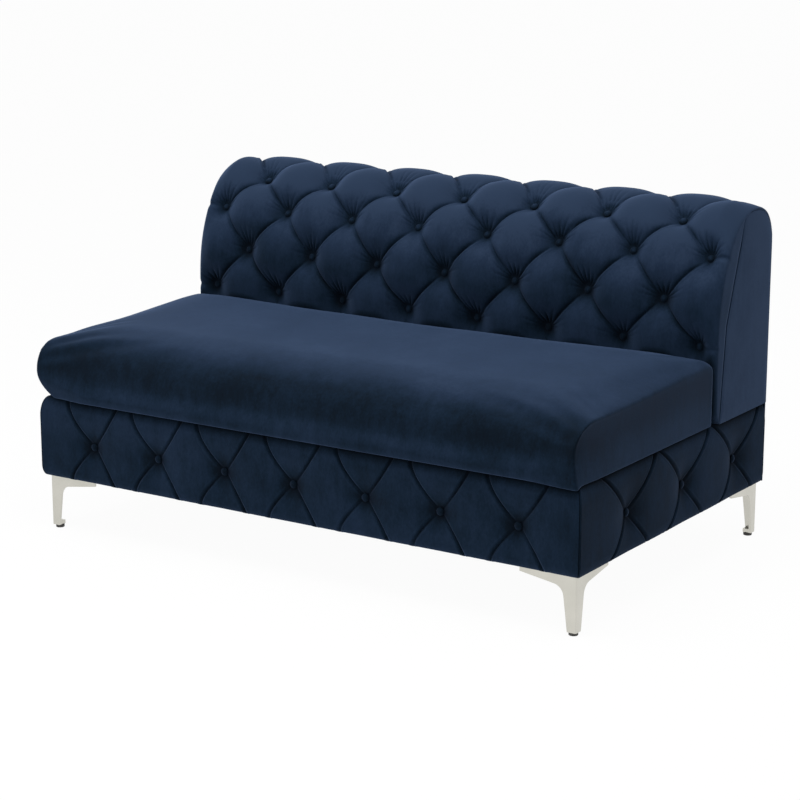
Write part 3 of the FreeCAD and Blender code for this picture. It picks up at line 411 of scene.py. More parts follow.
def woven(name, dark, light, threads, strength):
    """Plain weave: two crossed wave patterns make the threads."""
    material, tree, shader, place = material_base(name, Roughness=0.9, Specular_IOR_Level=0.15)
    across = put(tree, "ShaderNodeTexWave", Vector=place, Scale=threads, Distortion=0.6)
    along = put(tree, "ShaderNodeTexWave", Vector=place, Scale=threads, Distortion=0.6)
    across.bands_direction = "X"
    along.bands_direction = "Y"
    weave = maths(tree, "MULTIPLY", across.outputs["Fac"], along.outputs["Fac"])
    wear = noise(tree, place, scale=7.0, detail=4.0, roughness=0.6)
    colour_by(tree, shader, weighted(tree, (weave, 0.4), (wear, 0.6)), (0.2, dark), (0.7, light))
    roughness_by(tree, shader, wear, share=0.2, base=0.75)
    bump(tree, shader, weave, strength, distance=0.0006)
    return material


# Meshes, lines and shares that several pieces use

def grid_faces(rows, columns, start=0):
    """Quads of a grid whose points are numbered row by row."""
    return [(start + r * columns + c, start + r * columns + c + 1,
             start + (r + 1) * columns + c + 1, start + (r + 1) * columns + c)
            for r in range(rows - 1) for c in range(columns - 1)]


def ring_faces(rings, count):
    """Quads between rings of points, each ring closed on itself."""
    return [(r * count + c, r * count + (c + 1) % count,
             (r + 1) * count + (c + 1) % count, (r + 1) * count + c)
            for r in range(rings - 1) for c in range(count)]


def end_caps(rings, count):
    """One face across the first ring and one across the last."""
    return [tuple(range(count)), tuple((rings - 1) * count + c for c in range(count))]


def piece(name, points, faces, body, material, slot, *nodes):
    """Smooth mesh that rides on a body, takes a finish and stands for CAD nodes."""
    mesh = bpy.data.meshes.new(name)
    mesh.from_pydata([tuple(map(float, point)) for point in points], [], faces)
    mesh.validate()
    mesh.polygons.foreach_set("use_smooth", [True] * len(mesh.polygons))
    mesh.materials.append(material)
    made = bpy.data.objects.new(name, mesh)
    bpy.context.collection.objects.link(made)
    face_outwards(mesh)
    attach(made, body)
    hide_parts(*nodes)
    return made


def face_outwards(mesh):
    """Turns the faces of a mesh the same way, out of it where it is closed."""
    work = bmesh.new()
    work.from_mesh(mesh)
    bmesh.ops.recalc_face_normals(work, faces=work.faces)
    work.to_mesh(mesh)
    work.free()


def smooth_step(share):
    share = np.clip(share, 0, 1)
    return share * share * (3 - 2 * share)


def edge_drop(margin, extent, depth):
    """How far a rounded edge falls back, by the distance from it."""
    short = np.clip(1 - margin / extent, 0, 1)
    return depth * (1 - np.sqrt(1 - short ** 2))


def eased(start, stop, count, ends):
    """Evenly spaced places, with more of them at the distances given from both ends."""
    flat = np.linspace(start, stop, count)
    near = start + np.asarray(ends)
    return np.unique(np.concatenate([flat, near, start + stop - near]))


def lengths_along(line):
    """Distance of each point from the first, along a line made of straight runs."""
    return np.concatenate([[0], np.cumsum(np.linalg.norm(np.diff(line, axis=0), axis=1))])


def spaced(points, count):
    """Points at even steps along an open line."""
    line = np.asarray(points)
    lengths = lengths_along(line)
    places = np.linspace(0, lengths[-1], count)
    return np.column_stack([np.interp(places, lengths, line[:, i]) for i in range(2)])


def resampled(points, step):
    """Closed outline through the points, with new points at even steps."""
    closed = list(points) + [points[0]]
    count = int(lengths_along(closed)[-1] / step)
    return spaced(closed, count + 1)[:-1]


def cubic_line(knots, points, places):
    """Points of a natural cubic curve through the points given, at places along the knots."""
    count = len(knots)
    gaps = np.diff(knots)
    system = np.eye(count)
    right = np.zeros_like(points)
    for i in range(1, count - 1):
        system[i, i - 1:i + 2] = gaps[i - 1], 2 * (gaps[i - 1] + gaps[i]), gaps[i]
        right[i] = 6 * ((points[i + 1] - points[i]) / gaps[i] - (points[i] - points[i - 1]) / gaps[i - 1])
    bend = np.linalg.solve(system, right)
    spans = np.clip(np.searchsorted(knots, places, side="right") - 1, 0, count - 2)
    gap = gaps[spans][:, None]
    after = (places - knots[spans])[:, None]
    before = gap - after
    curve = (bend[spans] * before ** 3 + bend[spans + 1] * after ** 3) / (6 * gap)
    curve += (points[spans] / gap - bend[spans] * gap / 6) * before
    curve += (points[spans + 1] / gap - bend[spans + 1] * gap / 6) * after
    return curve


def nearest_on(line, points):
    """For each point, the nearest point of a line made of straight runs."""
    line = np.asarray(line)
    best = np.repeat(line[:1], len(points), axis=0)
    reach = np.full(len(points), np.inf)
    for start, stop in zip(line[:-1], line[1:]):
        run = stop - start
        share = np.clip((points - start) @ run / (run @ run), 0, 1)[:, None]
        spot = start + share * run
        distance = np.linalg.norm(points - spot, axis=1)
        closer = distance < reach
        best[closer] = spot[closer]
        reach[closer] = distance[closer]
    return best


def mark_hollow_shade(made, shares):
    """Stores how far each point lies in a button's hollow, where the velvet paints shade."""
    layer = made.data.attributes.new("hollow", "FLOAT", "POINT")
    layer.data.foreach_set("value", np.ravel(shares ** 2).astype(np.float32))


# Back pad

def puff_share(from_fold):
    """Height of a puff as a share, by the distance from the fold beside it."""
    return 1 - (1 - np.abs(from_fold) / (FOLD_SPACING / 2)).clip(0) ** DOME_FULLNESS


def button_columns(row):
    return [c for c in range(-LAST_COLUMN, LAST_COLUMN + 1) if (c + row) % 2 == 0]


def button_hollows(x, row):
    """Share by which the pad's cover is drawn in to its buttons: 1 at a button."""
    drawn_in = np.zeros_like(x)
    for button_row in range(1, BUTTON_ROWS + 1):
        for button_column in button_columns(button_row):
            away = HALF_PITCH * np.hypot(x / HALF_PITCH - button_column, row - button_row)
            drawn_in += np.exp(-(np.maximum(away - TUFT_SEAT, 0) / TUFT_WIDTH) ** TUFT_FADE)
    return np.minimum(drawn_in, 1)


def tuft_rise(x, row):
    """How far the tufted cover stands off its button seats: puffs between folds, drawn in at the buttons."""
    column = np.clip(x / HALF_PITCH, -LAST_COLUMN, LAST_COLUMN)
    held = np.clip(row, FIRST_ROW, LAST_ROW)
    falling = (column + held) / 2
    rising = (column - held) / 2
    from_falling = (falling - np.round(falling)) * FOLD_SPACING
    from_rising = (rising - np.round(rising)) * FOLD_SPACING
    dome = puff_share(from_falling) * puff_share(from_rising)
    crease = np.maximum(np.exp(-np.abs(from_falling) / FOLD_WIDTH), np.exp(-np.abs(from_rising) / FOLD_WIDTH))
    lip = np.exp(-((from_falling + LIP_OFFSET) / LIP_WIDTH) ** 2)
    lip += np.exp(-((from_rising - LIP_OFFSET) / LIP_WIDTH) ** 2)
    fold = FOLD_RISE + (CREST_FOLD - FOLD_RISE) * smooth_step(row - BUTTON_ROWS)
    full = fold + DOME_RISE * dome - FOLD_DEPTH * crease + LIP_RISE * lip
    return full * (1 - button_hollows(x, row))


def gathers(x, along, row_places):
    """Depth of the fine creases that run out from each button, mostly upwards."""
    draw = np.random.default_rng(GATHER_SEED)
    depth = np.zeros_like(x)
    for row, place in row_places:
        for column in button_columns(row):
            phase = draw.uniform(*GATHER_PHASES)
            wobble = draw.uniform(*GATHER_WOBBLES)
            share = draw.uniform(*GATHER_SHARES)
            across = x - column * HALF_PITCH
            up = along - place
            near = np.hypot(across, up)
            angle = np.arctan2(across, up)
            reach = 1 - GATHER_UNEVEN + GATHER_UNEVEN * np.cos(3 * angle + phase)
            fade = smooth_step((near - GATHER_NEAR) / GATHER_EDGE)
            fade *= 1 - smooth_step((near - GATHER_START) / (GATHER_FAR * reach - GATHER_START))
            side = np.clip(GATHER_SIDEWAYS + GATHER_UPWARDS * np.cos(angle), 0.0, 1.0)
            turn = GATHER_COUNT / 2 * angle + phase + wobble * np.sin(2 * angle + phase)
            depth += GATHER_DEPTH * share * fade * side * (1 - np.abs(np.sin(turn))) ** GATHER_SHARPNESS
    return depth


def frame_cover(seat, heading, outward):
    """Least rise that keeps the pad's cover off the wooden frame, along the line of the button seats."""
    away = spaced(FRAME_LINE, FRAME_POINTS)[None] - seat[:, None]
    beside = np.abs(np.sum(away * heading[:, None], axis=2)) < PAD_STEP
    frame_rise = np.max(np.where(beside, np.sum(away * outward[:, None], axis=2), 0), axis=1)
    return np.where(frame_rise > 0, frame_rise + FRAME_COVER, 0)


def rear_share(row):
    """0 up to the last row, 1 at the rear edge of the rolled top."""
    return np.clip((row - LAST_ROW) / (PAD_ROWS[-1] - LAST_ROW), 0, 1)


def rear_fade(row):
    """Share of the pad's rise that is left towards its rear edge."""
    return np.sqrt(np.maximum(1 - rear_share(row) ** REAR_FULLNESS, 0))


def pad_rise(x, row, along, row_places):
    """How far the pad's cover stands off the line of its button seats, before its ends are shaped."""
    rise = tuft_rise(x, row) * rear_fade(row)
    below = np.clip((FIRST_ROW - row) / (FIRST_ROW - PAD_ROWS[0]), 0, 1)
    rise *= 1 - (1 - FOOT_SHARE) * below
    foot = np.clip(along / FOOT_ROUND, 0, 1)
    rise = FOOT_RISE + (rise - FOOT_RISE) * np.sqrt(1 - (1 - foot) ** 2)
    return rise - gathers(x, along, row_places)


def with_ends(x, row, rise):
    """Evens the pad out towards its ends and rounds them, with small pleats at the rows given for them."""
    last = LAST_COLUMN * HALF_PITCH
    outside = smooth_step((np.abs(x) - last) / (PAD_HALF_WIDTH - last))
    top = smooth_step((row - TOP_END_FROM) / (LAST_ROW - TOP_END_FROM))
    even = (END_RISE + (TOP_END_RISE - END_RISE) * top) * rear_fade(row)
    for pleat_row in END_PLEAT_ROWS:
        off_row = (row - pleat_row) * HALF_PITCH
        even -= END_PLEAT * np.exp(-(off_row / END_PLEAT_WIDTH) ** 2)
    foot = np.clip((row - PAD_ROWS[0]) / END_FOOT_ROWS, 0, 1)
    even *= END_FOOT_SHARE + (1 - END_FOOT_SHARE) * foot
    rounding = edge_drop(PAD_HALF_WIDTH - np.abs(x), END_ROUND, END_ROUND_DEPTH)
    return rise + (even - rise) * outside - rounding * (1 - TOP_ROUND_LOSS * top) * (1 - rear_share(row))


def side_strip(edge, seam, rows, side):
    """Points from the pad's edge back along the side to the seam with the side panel."""
    under_panel = STRIP_INSET * smooth_step(rows - TOP_END_FROM)
    strips = []
    for share in np.linspace(0, 1, STRIP_STEPS + 1)[1:]:
        flat = edge[:, 1:] + (seam - edge[:, 1:]) * share
        dip = STRIP_DIP * max(0.0, (share - STRIP_DIP_FROM) / (1 - STRIP_DIP_FROM)) ** 2
        strips.append(np.column_stack([side * (PAD_HALF_WIDTH - dip - under_panel), flat]))
    return np.stack(strips, axis=1)


def make_back_pad(material):
    """Deep-buttoned pad, rolled over the top, with its ends wrapped onto the sides."""
    line = np.asarray(PAD_LINE)
    knots = lengths_along(line)
    count = int(knots[-1] / PAD_STEP) + 1
    along = np.linspace(0, knots[-1], count)
    seat = cubic_line(knots, line, along)
    heading = np.gradient(seat, along, axis=0)
    heading /= np.linalg.norm(heading, axis=1)[:, None]
    outward = np.stack([-heading[:, 1], heading[:, 0]], axis=1)
    rows = np.interp(along, knots, PAD_ROWS)
    columns = eased(-PAD_HALF_WIDTH, PAD_HALF_WIDTH, int(2 * PAD_HALF_WIDTH / PAD_STEP) + 1, PAD_EDGE_STEPS)
    x, row = np.meshgrid(columns, rows)
    place = np.meshgrid(columns, along)[1]
    row_places = list(zip(range(1, BUTTON_ROWS + 1), knots[1:]))
    least_rise = frame_cover(seat, heading, outward)[:, None]
    rise = with_ends(x, row, np.maximum(pad_rise(x, row, place, row_places), least_rise))
    y = seat[:, :1] + outward[:, :1] * rise
    z = seat[:, 1:] + outward[:, 1:] * rise
    front = np.stack([x, y, z], axis=2)
    seam = nearest_on(FRAME_LINE, seat)
    left = side_strip(front[:, 0], seam, rows, -1)
    right = side_strip(front[:, -1], seam, rows, 1)
    loop = np.concatenate([left[:, ::-1], front, right], axis=1)
    width = loop.shape[1]
    faces = ring_faces(count, width) + end_caps(count, width)
    made = piece("back_pad_velvet", loop.reshape(-1, 3), faces, "frame", material, "velvet", "back_pad")
    strip = np.zeros((count, STRIP_STEPS))
    # The hollows get painted shade in the velvet
    mark_hollow_shade(made, np.concatenate([strip, button_hollows(x, row), strip], axis=1))


# Plain panels

def make_back_sides(material):
    """Plain padded ends of the back, with soft edges."""
    outline = resampled(SIDE_OUTLINE, SIDE_STEP)
    middle = outline.mean(axis=0)
    away = outline - middle
    reach = np.linalg.norm(away, axis=1)[:, None]
    edge_x = SIDE_INNER + SIDE_THICKNESS
    sections = [(1.0, SIDE_INNER), (1.0, edge_x)]
    for turn in np.linspace(*SIDE_EDGE_TURNS) * math.pi / 2:
        inset = SIDE_EDGE * (1 - math.cos(turn))
        sections.append((1 - inset / reach, edge_x + SIDE_EDGE * math.sin(turn)))
    for share in SIDE_FACE_SHARES:
        sections.append((share, SIDE_FACE + SIDE_CROWN * (1 - share ** 2)))
    faces = ring_faces(len(sections), len(outline)) + end_caps(len(sections), len(outline))
    for side, label in SIDES:
        points = [(side * x, y, z) for share, x in sections for y, z in middle + away * share]
        made = piece(f"back_{label}_side_velvet", points, faces, "frame", material, "velvet",
                     f"back_{label}_panel")


def make_slab(name, node, material, slot, thick_axis, edge, crown=0.0, sag=0.0, reach=(0.0, 0.0)):
    """Padded flat panel in the space of a CAD node: rounded edges, and an outer face that swells or sags."""
    low, high = (np.array(corner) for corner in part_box(node))
    across, up = [axis for axis in range(3) if axis != thick_axis]
    low[up] -= reach[0]
    high[up] += reach[1]
    spans = high - low
    first = eased(low[across], high[across], SLAB_POINTS[0], SLAB_EDGE_STEPS * edge)
    second = eased(low[up], high[up], SLAB_POINTS[1], SLAB_EDGE_STEPS * edge)
    a, b = np.meshgrid(first, second)
    margin = np.minimum.reduce([a - low[across], high[across] - a, b - low[up], high[up] - b])
    drop = np.minimum(edge_drop(margin, edge, edge), spans[thick_axis] * SLAB_DROP_LIMIT)
    swell = np.sin(math.pi * (a - low[across]) / spans[across]) * np.sin(math.pi * (b - low[up]) / spans[up])
    face = np.empty((*a.shape, 3))
    face[..., across] = a
    face[..., up] = b
    back = face.copy()
    face[..., thick_axis] = high[thick_axis] + crown * np.sqrt(swell.clip(0)) - drop - sag * swell
    back[..., thick_axis] = low[thick_axis]
    rows, columns = a.shape
    total = rows * columns
    faces = grid_faces(rows, columns) + grid_faces(rows, columns, total)
    rim = list(range(columns)) + [r * columns + columns - 1 for r in range(1, rows)]
    rim += [(rows - 1) * columns + c for c in range(columns - 2, -1, -1)]
    rim += [r * columns for r in range(rows - 2, 0, -1)]
    faces += [(i, j, total + j, total + i) for i, j in zip(rim, rim[1:] + rim[:1])]
    points = np.concatenate([face.reshape(-1, 3), back.reshape(-1, 3)])
    made = piece(name, points, faces, "frame", material, slot, node)


# Buttoned base panels

def edge_set_back(z):
    """How far a base panel falls back at its rounded top and foot."""
    set_back = edge_drop(BASE_TOP - z, TOP_ROUND, TOP_ROUND_DEPTH)
    return set_back + edge_drop(z - BASE_BOTTOM, FOOT_EDGE_ROUND, FOOT_EDGE_DEPTH)


def panel_depth(u, z, layout):
    """Outward depth of a buttoned base panel at places along it and up it, the way to its nearest fold, and
    the share by which it is drawn in to its buttons."""
    pitch, centre, count, top_reach, bend = layout
    half = pitch / 2
    index = np.clip(np.round((u - centre) / pitch), -(count // 2), count // 2)
    offset = np.abs(u - centre - index * pitch)
    level = z - BUTTON_Z
    above = level >= 0
    room = np.where(above, BASE_TOP - BUTTON_Z, BUTTON_Z - BASE_BOTTOM)
    share = np.abs(level) / room
    reach = np.where(above, top_reach, FOLD_BOTTOM_REACH) * half
    lean = np.arctan2(reach, room)
    off_fold = (offset - reach * (1 - (1 - share) ** bend)) * np.cos(lean)
    crease = CREASE_DEPTH * np.exp(-np.abs(off_fold) / CREASE_WIDTH)
    lip = CREASE_LIP * np.exp(-((np.abs(off_fold) - LIP_AWAY) / LIP_SPREAD) ** 2)
    drawn_in = np.zeros_like(u)
    for number in range(-(count // 2), count // 2 + 1):
        away = np.maximum(np.hypot(u - centre - number * pitch, level) - DIMPLE_SEAT, 0)
        drawn_in += np.exp(-(away / DIMPLE_WIDTH) ** DIMPLE_FADE)
    fade = 1 - CREASE_LOSS * drawn_in
    depth = PANEL_DEPTH - DIMPLE_DEPTH * drawn_in - (crease - lip) * fade - edge_set_back(z)
    return depth, off_fold, np.minimum(drawn_in, 1)


def buttoned_panel(name, node, layout, ends, end_rounds, soft_ends, place, material):
    """Closed mesh of one buttoned panel; place turns (along, depth, height) into a point. Soft ends are
    (end, inward direction), and are drawn in where the panel falls back at its top and foot."""
    start, stop = ends
    along = eased(start, stop, int((stop - start) / PANEL_STEP) + 1, PANEL_EDGE_STEPS)
    height = eased(BASE_BOTTOM, BASE_TOP, int((BASE_TOP - BASE_BOTTOM) / PANEL_STEP), PANEL_EDGE_STEPS)
    u, z = np.meshgrid(along, height)
    depth, off_fold, hollow = panel_depth(u, z, layout)
    for end, radius in zip(ends, end_rounds):
        depth -= edge_drop(np.abs(u - end), radius, radius)
    depth = np.maximum(depth, PANEL_LEAST_DEPTH)
    at_foot = np.exp(-((z - BASE_BOTTOM) / FOLD_END_HEIGHT) ** 2)
    fold_ends = FOLD_END_DROP * np.exp(-(off_fold / FOLD_END_WIDTH) ** 2) * at_foot
    for end, inward in soft_ends:
        u = u + inward * edge_set_back(z) * smooth_step(1 - np.abs(u - end) / CORNER_REACH)
    front = np.stack([u, depth, z - fold_ends], axis=2)
    inner = front.copy()
    inner[..., 1] = PANEL_INNER
    loop = np.concatenate([inner[:1], front, inner[-1:]], axis=0)
    points = [place(*point) for point in loop.reshape(-1, 3)]
    rows, columns = loop.shape[:2]
    faces = grid_faces(rows, columns)
    faces += [((rows - 1) * columns + c, (rows - 1) * columns + c + 1, c + 1, c) for c in range(columns - 1)]
    faces += [tuple(r * columns for r in range(rows)), tuple(r * columns + columns - 1 for r in range(rows))]
    made = piece(name, points, faces, "frame", material, "velvet", node)
    # The hollows get painted shade in the velvet
    mark_hollow_shade(made, np.pad(hollow, ((1, 1), (0, 0))))


def make_base_panels(front_material, side_material):
    """Buttoned panels on the front and both sides of the base."""
    buttoned_panel("base_front_velvet", "base_front_panel", FRONT_LAYOUT, (-FRONT_HALF, FRONT_HALF),
                   FRONT_END_ROUNDS, [(-FRONT_HALF, 1), (FRONT_HALF, -1)],
                   lambda u, depth, z: (u, RAIL_FRONT - depth, z), front_material)
    for side, label in SIDES:
        buttoned_panel(f"base_{label}_velvet", f"base_{label}_panel", SIDE_LAYOUT, (PANEL_FRONT, PANEL_REAR),
                       SIDE_END_ROUNDS, [(PANEL_FRONT, 1)],
                       lambda u, depth, z: (side * (RAIL_SIDE + depth), u, z), side_material)


# Seat cushion

def quarter_turn(y, z, radius, start):
    """Points of a quarter circle round (y, z), turning clockwise from the start angle."""
    turns = start - np.linspace(0, math.pi / 2, TURN_POINTS)
    return [(y + radius * math.cos(turn), z + radius * math.sin(turn)) for turn in turns]


def cushion_sides():
    """The four sides of the cushion's end as lines of (y, z): bottom, front, top and rear, in turn."""
    foot = quarter_turn(CUSHION_FRONT + FRONT_RADIUS_FOOT, CUSHION_BOTTOM - FRONT_DROOP + FRONT_RADIUS_FOOT,
                        FRONT_RADIUS_FOOT, 1.5 * math.pi)
    roll = quarter_turn(CUSHION_FRONT + FRONT_RADIUS_TOP, CUSHION_SEAM - FRONT_RADIUS_TOP,
                        FRONT_RADIUS_TOP, math.pi)
    shoulder = quarter_turn(CUSHION_BACK - BACK_RADIUS, CUSHION_SEAM - BACK_RADIUS,
                            BACK_RADIUS, 0.5 * math.pi)
    rear_foot = (CUSHION_BACK, CUSHION_BOTTOM)
    bottom = [rear_foot, (CUSHION_FRONT + DROOP_DEPTH, CUSHION_BOTTOM)] + foot[:TURN_MIDDLE + 1]
    front = foot[TURN_MIDDLE:] + roll[:TURN_MIDDLE + 1]
    top = roll[TURN_MIDDLE:] + shoulder[:TURN_MIDDLE + 1]
    rear = shoulder[TURN_MIDDLE:] + [rear_foot]
    return [spaced(bottom, LENGTH_POINTS), spaced(front, UPRIGHT_POINTS),
            spaced(top, LENGTH_POINTS), spaced(rear, UPRIGHT_POINTS)]


def cushion_lift(x, deep, z):
    """How far the unfilled cushion is raised: crowned, and higher at the rear."""
    top = smooth_step((z - CROWN_FOOT) / (CUSHION_SEAM - CROWN_FOOT))
    rear = smooth_step((deep - CROWN_REAR_FROM) / (1 - CROWN_REAR_FROM))
    crown = CROWN * (1 - (abs(x) / CUSHION_HALF) ** CROWN_END_POWER) * smooth_step(deep / CROWN_FRONT)
    crown *= 1 - (1 - CROWN_REAR_SHARE) * rear
    return top * (crown + REAR_RISE * smooth_step((deep - REAR_RISE_FROM) / (1 - REAR_RISE_FROM)))


def cushion_tuck(x, y, z, low):
    """How far a front corner is drawn in: the left one at its foot, the right one at half its height."""
    if x < 0:
        tuck = LEFT_TUCK * low ** 2
    else:
        upright = np.clip((z - CUSHION_BOTTOM) / (CUSHION_SEAM - CUSHION_BOTTOM), 0, 1)
        tuck = RIGHT_TUCK * low ** 2 + RIGHT_CORNER_TUCK * math.sin(math.pi * upright)
    tuck *= smooth_step((abs(x) - TUCK_FROM) / (CUSHION_HALF - TUCK_FROM))
    return tuck * math.exp(-((y - CUSHION_FRONT) / TUCK_DEPTH) ** 2)


def cushion_point(x, y, z):
    """Place on the unfilled cushion: raised, with ears at the rear and its front corners drawn in."""
    deep = (y - CUSHION_FRONT) / (CUSHION_BACK - CUSHION_FRONT)
    ear = REAR_EAR * smooth_step((abs(x) - EAR_FROM) / EAR_REACH)
    ear *= smooth_step((deep - EAR_DEPTH_FROM) / (1 - EAR_DEPTH_FROM))
    low = np.clip(1 - (z - CUSHION_BOTTOM) / TUCK_HEIGHT, 0, 1)
    tuck = cushion_tuck(x, y, z, low)
    droop = CORNER_DROOP * low * smooth_step((x - TUCK_FROM) / (CUSHION_HALF - TUCK_FROM))
    droop *= smooth_step(1 - (y - CUSHION_FRONT) / DROOP_DEPTH)
    return x - math.copysign(tuck, x), y + ear + TUCK_BACK * tuck, z + cushion_lift(x, deep, z) - droop


def add_gusset(points, faces, start, side):
    """Closes one end of the cushion with a grid between the four sides of its outline."""
    long, upright = LENGTH_POINTS, UPRIGHT_POINTS
    number = np.empty((long, upright), int)
    number[-1, :] = start + long - 1 + np.arange(upright)
    number[0, :] = start + 2 * long + upright - 3 + np.arange(upright)[::-1]
    number[:, -1] = start + long + upright - 2 + np.arange(long)[::-1]
    number[:, 0] = start + np.arange(long)
    outline = np.array(points)
    s = np.linspace(0, 1, long)[:, None, None]
    t = np.linspace(0, 1, upright)[None, :, None]
    low, high = outline[number[:, 0]][:, None], outline[number[:, -1]][:, None]
    rear, front = outline[number[0]][None], outline[number[-1]][None]
    patch = (1 - t) * low + t * high + (1 - s) * rear + s * front
    patch -= (1 - s) * ((1 - t) * low[0] + t * high[0]) + s * ((1 - t) * low[-1] + t * high[-1])
    patch[..., :1] += side * GUSSET_SWELL * np.sin(math.pi * s) * np.sin(math.pi * t)
    widest = CUSHION_HALF + GUSSET_SWELL
    patch[..., 0] = np.clip(patch[..., 0], -widest, widest)
    inner = patch[1:-1, 1:-1].reshape(-1, 3)
    number[1:-1, 1:-1] = len(points) + np.arange(len(inner)).reshape(long - 2, upright - 2)
    points.extend(map(tuple, inner))
    faces.extend((int(number[i, j]), int(number[i + 1, j]), int(number[i + 1, j + 1]), int(number[i, j + 1]))
                 for i in range(long - 1) for j in range(upright - 1))


def make_cushion(material):
    """Bench cushion: crowned form filled by a cloth simulation, with its seams, ends, foot and rear held."""
    loop = np.concatenate([line[:-1] for line in cushion_sides()])
    count = len(loop)
    stations = np.linspace(-CUSHION_HALF, CUSHION_HALF, int(2 * CUSHION_HALF / CUSHION_STEP) + 1)
    rows = len(stations)
    points = [cushion_point(x, y, z) for x in stations for y, z in loop]
    faces = ring_faces(rows, count)
    lofted = len(points)
    seams = list(range(count)) + list(range((rows - 1) * count, lofted))
    add_gusset(points, faces, 0, -1)
    add_gusset(points, faces, (rows - 1) * count, 1)
    held = seams + list(range(lofted, len(points)))
    held += [i for i, (x, y, z) in enumerate(points[:lofted])
             if z < HELD_HEIGHT or y > CUSHION_BACK - HELD_REAR]
    made = piece("seat_cushion_velvet", points, faces, "seat_cushion", material, "velvet",
                 "cushion_top_panel", "cushion_bottom_panel", "cushion_left_gusset", "cushion_right_gusset",
                 "cushion_back_boxing", "cushion_core")
    fill_cushion(made, sorted(set(held)))
    for i in seams:
        made.data.vertices[i].co.x *= 1 + SEAM_RIDGE / CUSHION_HALF
    smooth = made.modifiers.new("smooth", "SUBSURF")
    smooth.levels = 1
    smooth.render_levels = 1


def fill_cushion(made, held):
    """Inflates the cushion with some points held still, and caps how far any other point moves."""
    start = np.array([point.co for point in made.data.vertices])
    group = made.vertex_groups.new(name="held")
    group.add(held, 1.0, "REPLACE")
    cloth = made.modifiers.new("fill", "CLOTH")
    settings = cloth.settings
    settings.use_pressure = True
    settings.uniform_pressure_force = FILL_PRESSURE
    settings.vertex_group_mass = "held"
    settings.mass = 0.4
    settings.tension_stiffness = 25.0
    settings.compression_stiffness = 25.0
    settings.shear_stiffness = 8.0
    settings.bending_stiffness = 0.6
    settings.effector_weights.gravity = 0.0
    settings.quality = 5
    cloth.collision_settings.use_self_collision = False
    scene = bpy.context.scene
    for number in range(1, FILL_FRAMES + 1):
        scene.frame_set(number)
    view = made.evaluated_get(bpy.context.evaluated_depsgraph_get())
    filled = np.array([point.co for point in view.data.vertices])
    made.modifiers.remove(cloth)
    made.vertex_groups.remove(group)
    scene.frame_set(1)
    move = filled - start
    length = np.linalg.norm(move, axis=1)[:, None]
    capped = FILL_LIMIT * np.tanh(length / FILL_LIMIT)
    made.data.vertices.foreach_set("co", (start + move * capped / np.maximum(length, TINY)).ravel())
    made.data.update()


# Dust cover and CAD pieces

def make_dust_cover(material):
    """Thin cloth stretched under the base, cut off at the corners for the legs and hanging a little."""
    low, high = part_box("dust_cover")
    columns = np.linspace(low[0], high[0], int((high[0] - low[0]) / DUST_STEP) + 1)
    rows = np.linspace(low[1], high[1], int((high[1] - low[1]) / DUST_STEP) + 1)
    middle = (low[1] + high[1]) / 2
    points = []
    for y in rows:
        lengthways = math.cos(math.pi * (y - middle) / (high[1] - low[1]))
        for x in columns:
            slack = math.cos(math.pi * x / (2 * high[0])) * lengthways
            points.append((x, y, low[2] + DUST_CLEARANCE - DUST_SAG * max(slack, 0.0)))
    faces = []
    for face in grid_faces(len(rows), len(columns)):
        x, y, z = np.mean([points[i] for i in face], axis=0)
        if high[0] - abs(x) + min(y - low[1], high[1] - y) > DUST_CUT:
            faces.append(face)
    used = sorted({i for face in faces for i in face})
    number = {old: new for new, old in enumerate(used)}
    points = [points[i] for i in used]
    faces = [tuple(number[i] for i in face) for face in faces]
    made = piece("dust_cover_cloth", points, faces, "frame", material, "dust_cloth", "dust_cover")


def dress_nodes(finishes):
    """Gives each CAD node that stays in view its material."""
    for names, material in finishes:
        for name in names:
            mesh = frame["nodes"][name].data
            mesh.materials.clear()
            mesh.materials.append(material)


# Stage

def aim(made, target):
    made.rotation_euler = (Vector(target) - made.location).to_track_quat("-Z", "Y").to_euler()


def add_light(name, place, target, size, power):
    lamp = bpy.data.lights.new(name, "AREA")
    lamp.shape = "RECTANGLE"
    lamp.size, lamp.size_y = size
    lamp.energy = power
    made = bpy.data.objects.new(name, lamp)
    bpy.context.collection.objects.link(made)
    made.location = place
    aim(made, target)


def light_scene():
    add_light("overhead", place=(0.2, -0.9, 3.6), target=(0.0, 0.1, 0.5), size=(3.6, 2.4), power=104.0)
    add_light("right", place=(3.6, 0.2, 1.9), target=(0.4, 0.1, 0.5), size=(2.0, 1.6), power=6.0)
    add_light("front", place=(-0.8, -4.6, 1.4), target=(0.0, 0.0, 0.3), size=(3.2, 1.6), power=72.0)


def add_camera():
    lens = bpy.data.cameras.new("photo_camera")
    lens.lens = CAMERA_LENS
    lens.sensor_width = CAMERA_SENSOR
    made = bpy.data.objects.new("photo_camera", lens)
    bpy.context.collection.objects.link(made)
    made.location = CAMERA_PLACE
    aim(made, CAMERA_TARGET)
    bpy.context.scene.camera = made


def seen_ray(tree):
    """1 on rays from the camera, mirrors and glass."""
    path = tree.nodes.new("ShaderNodeLightPath").outputs
    seen = maths(tree, "MAXIMUM", path["Is Camera Ray"], path["Is Glossy Ray"])
    return maths(tree, "MAXIMUM", seen, path["Is Transmission Ray"])


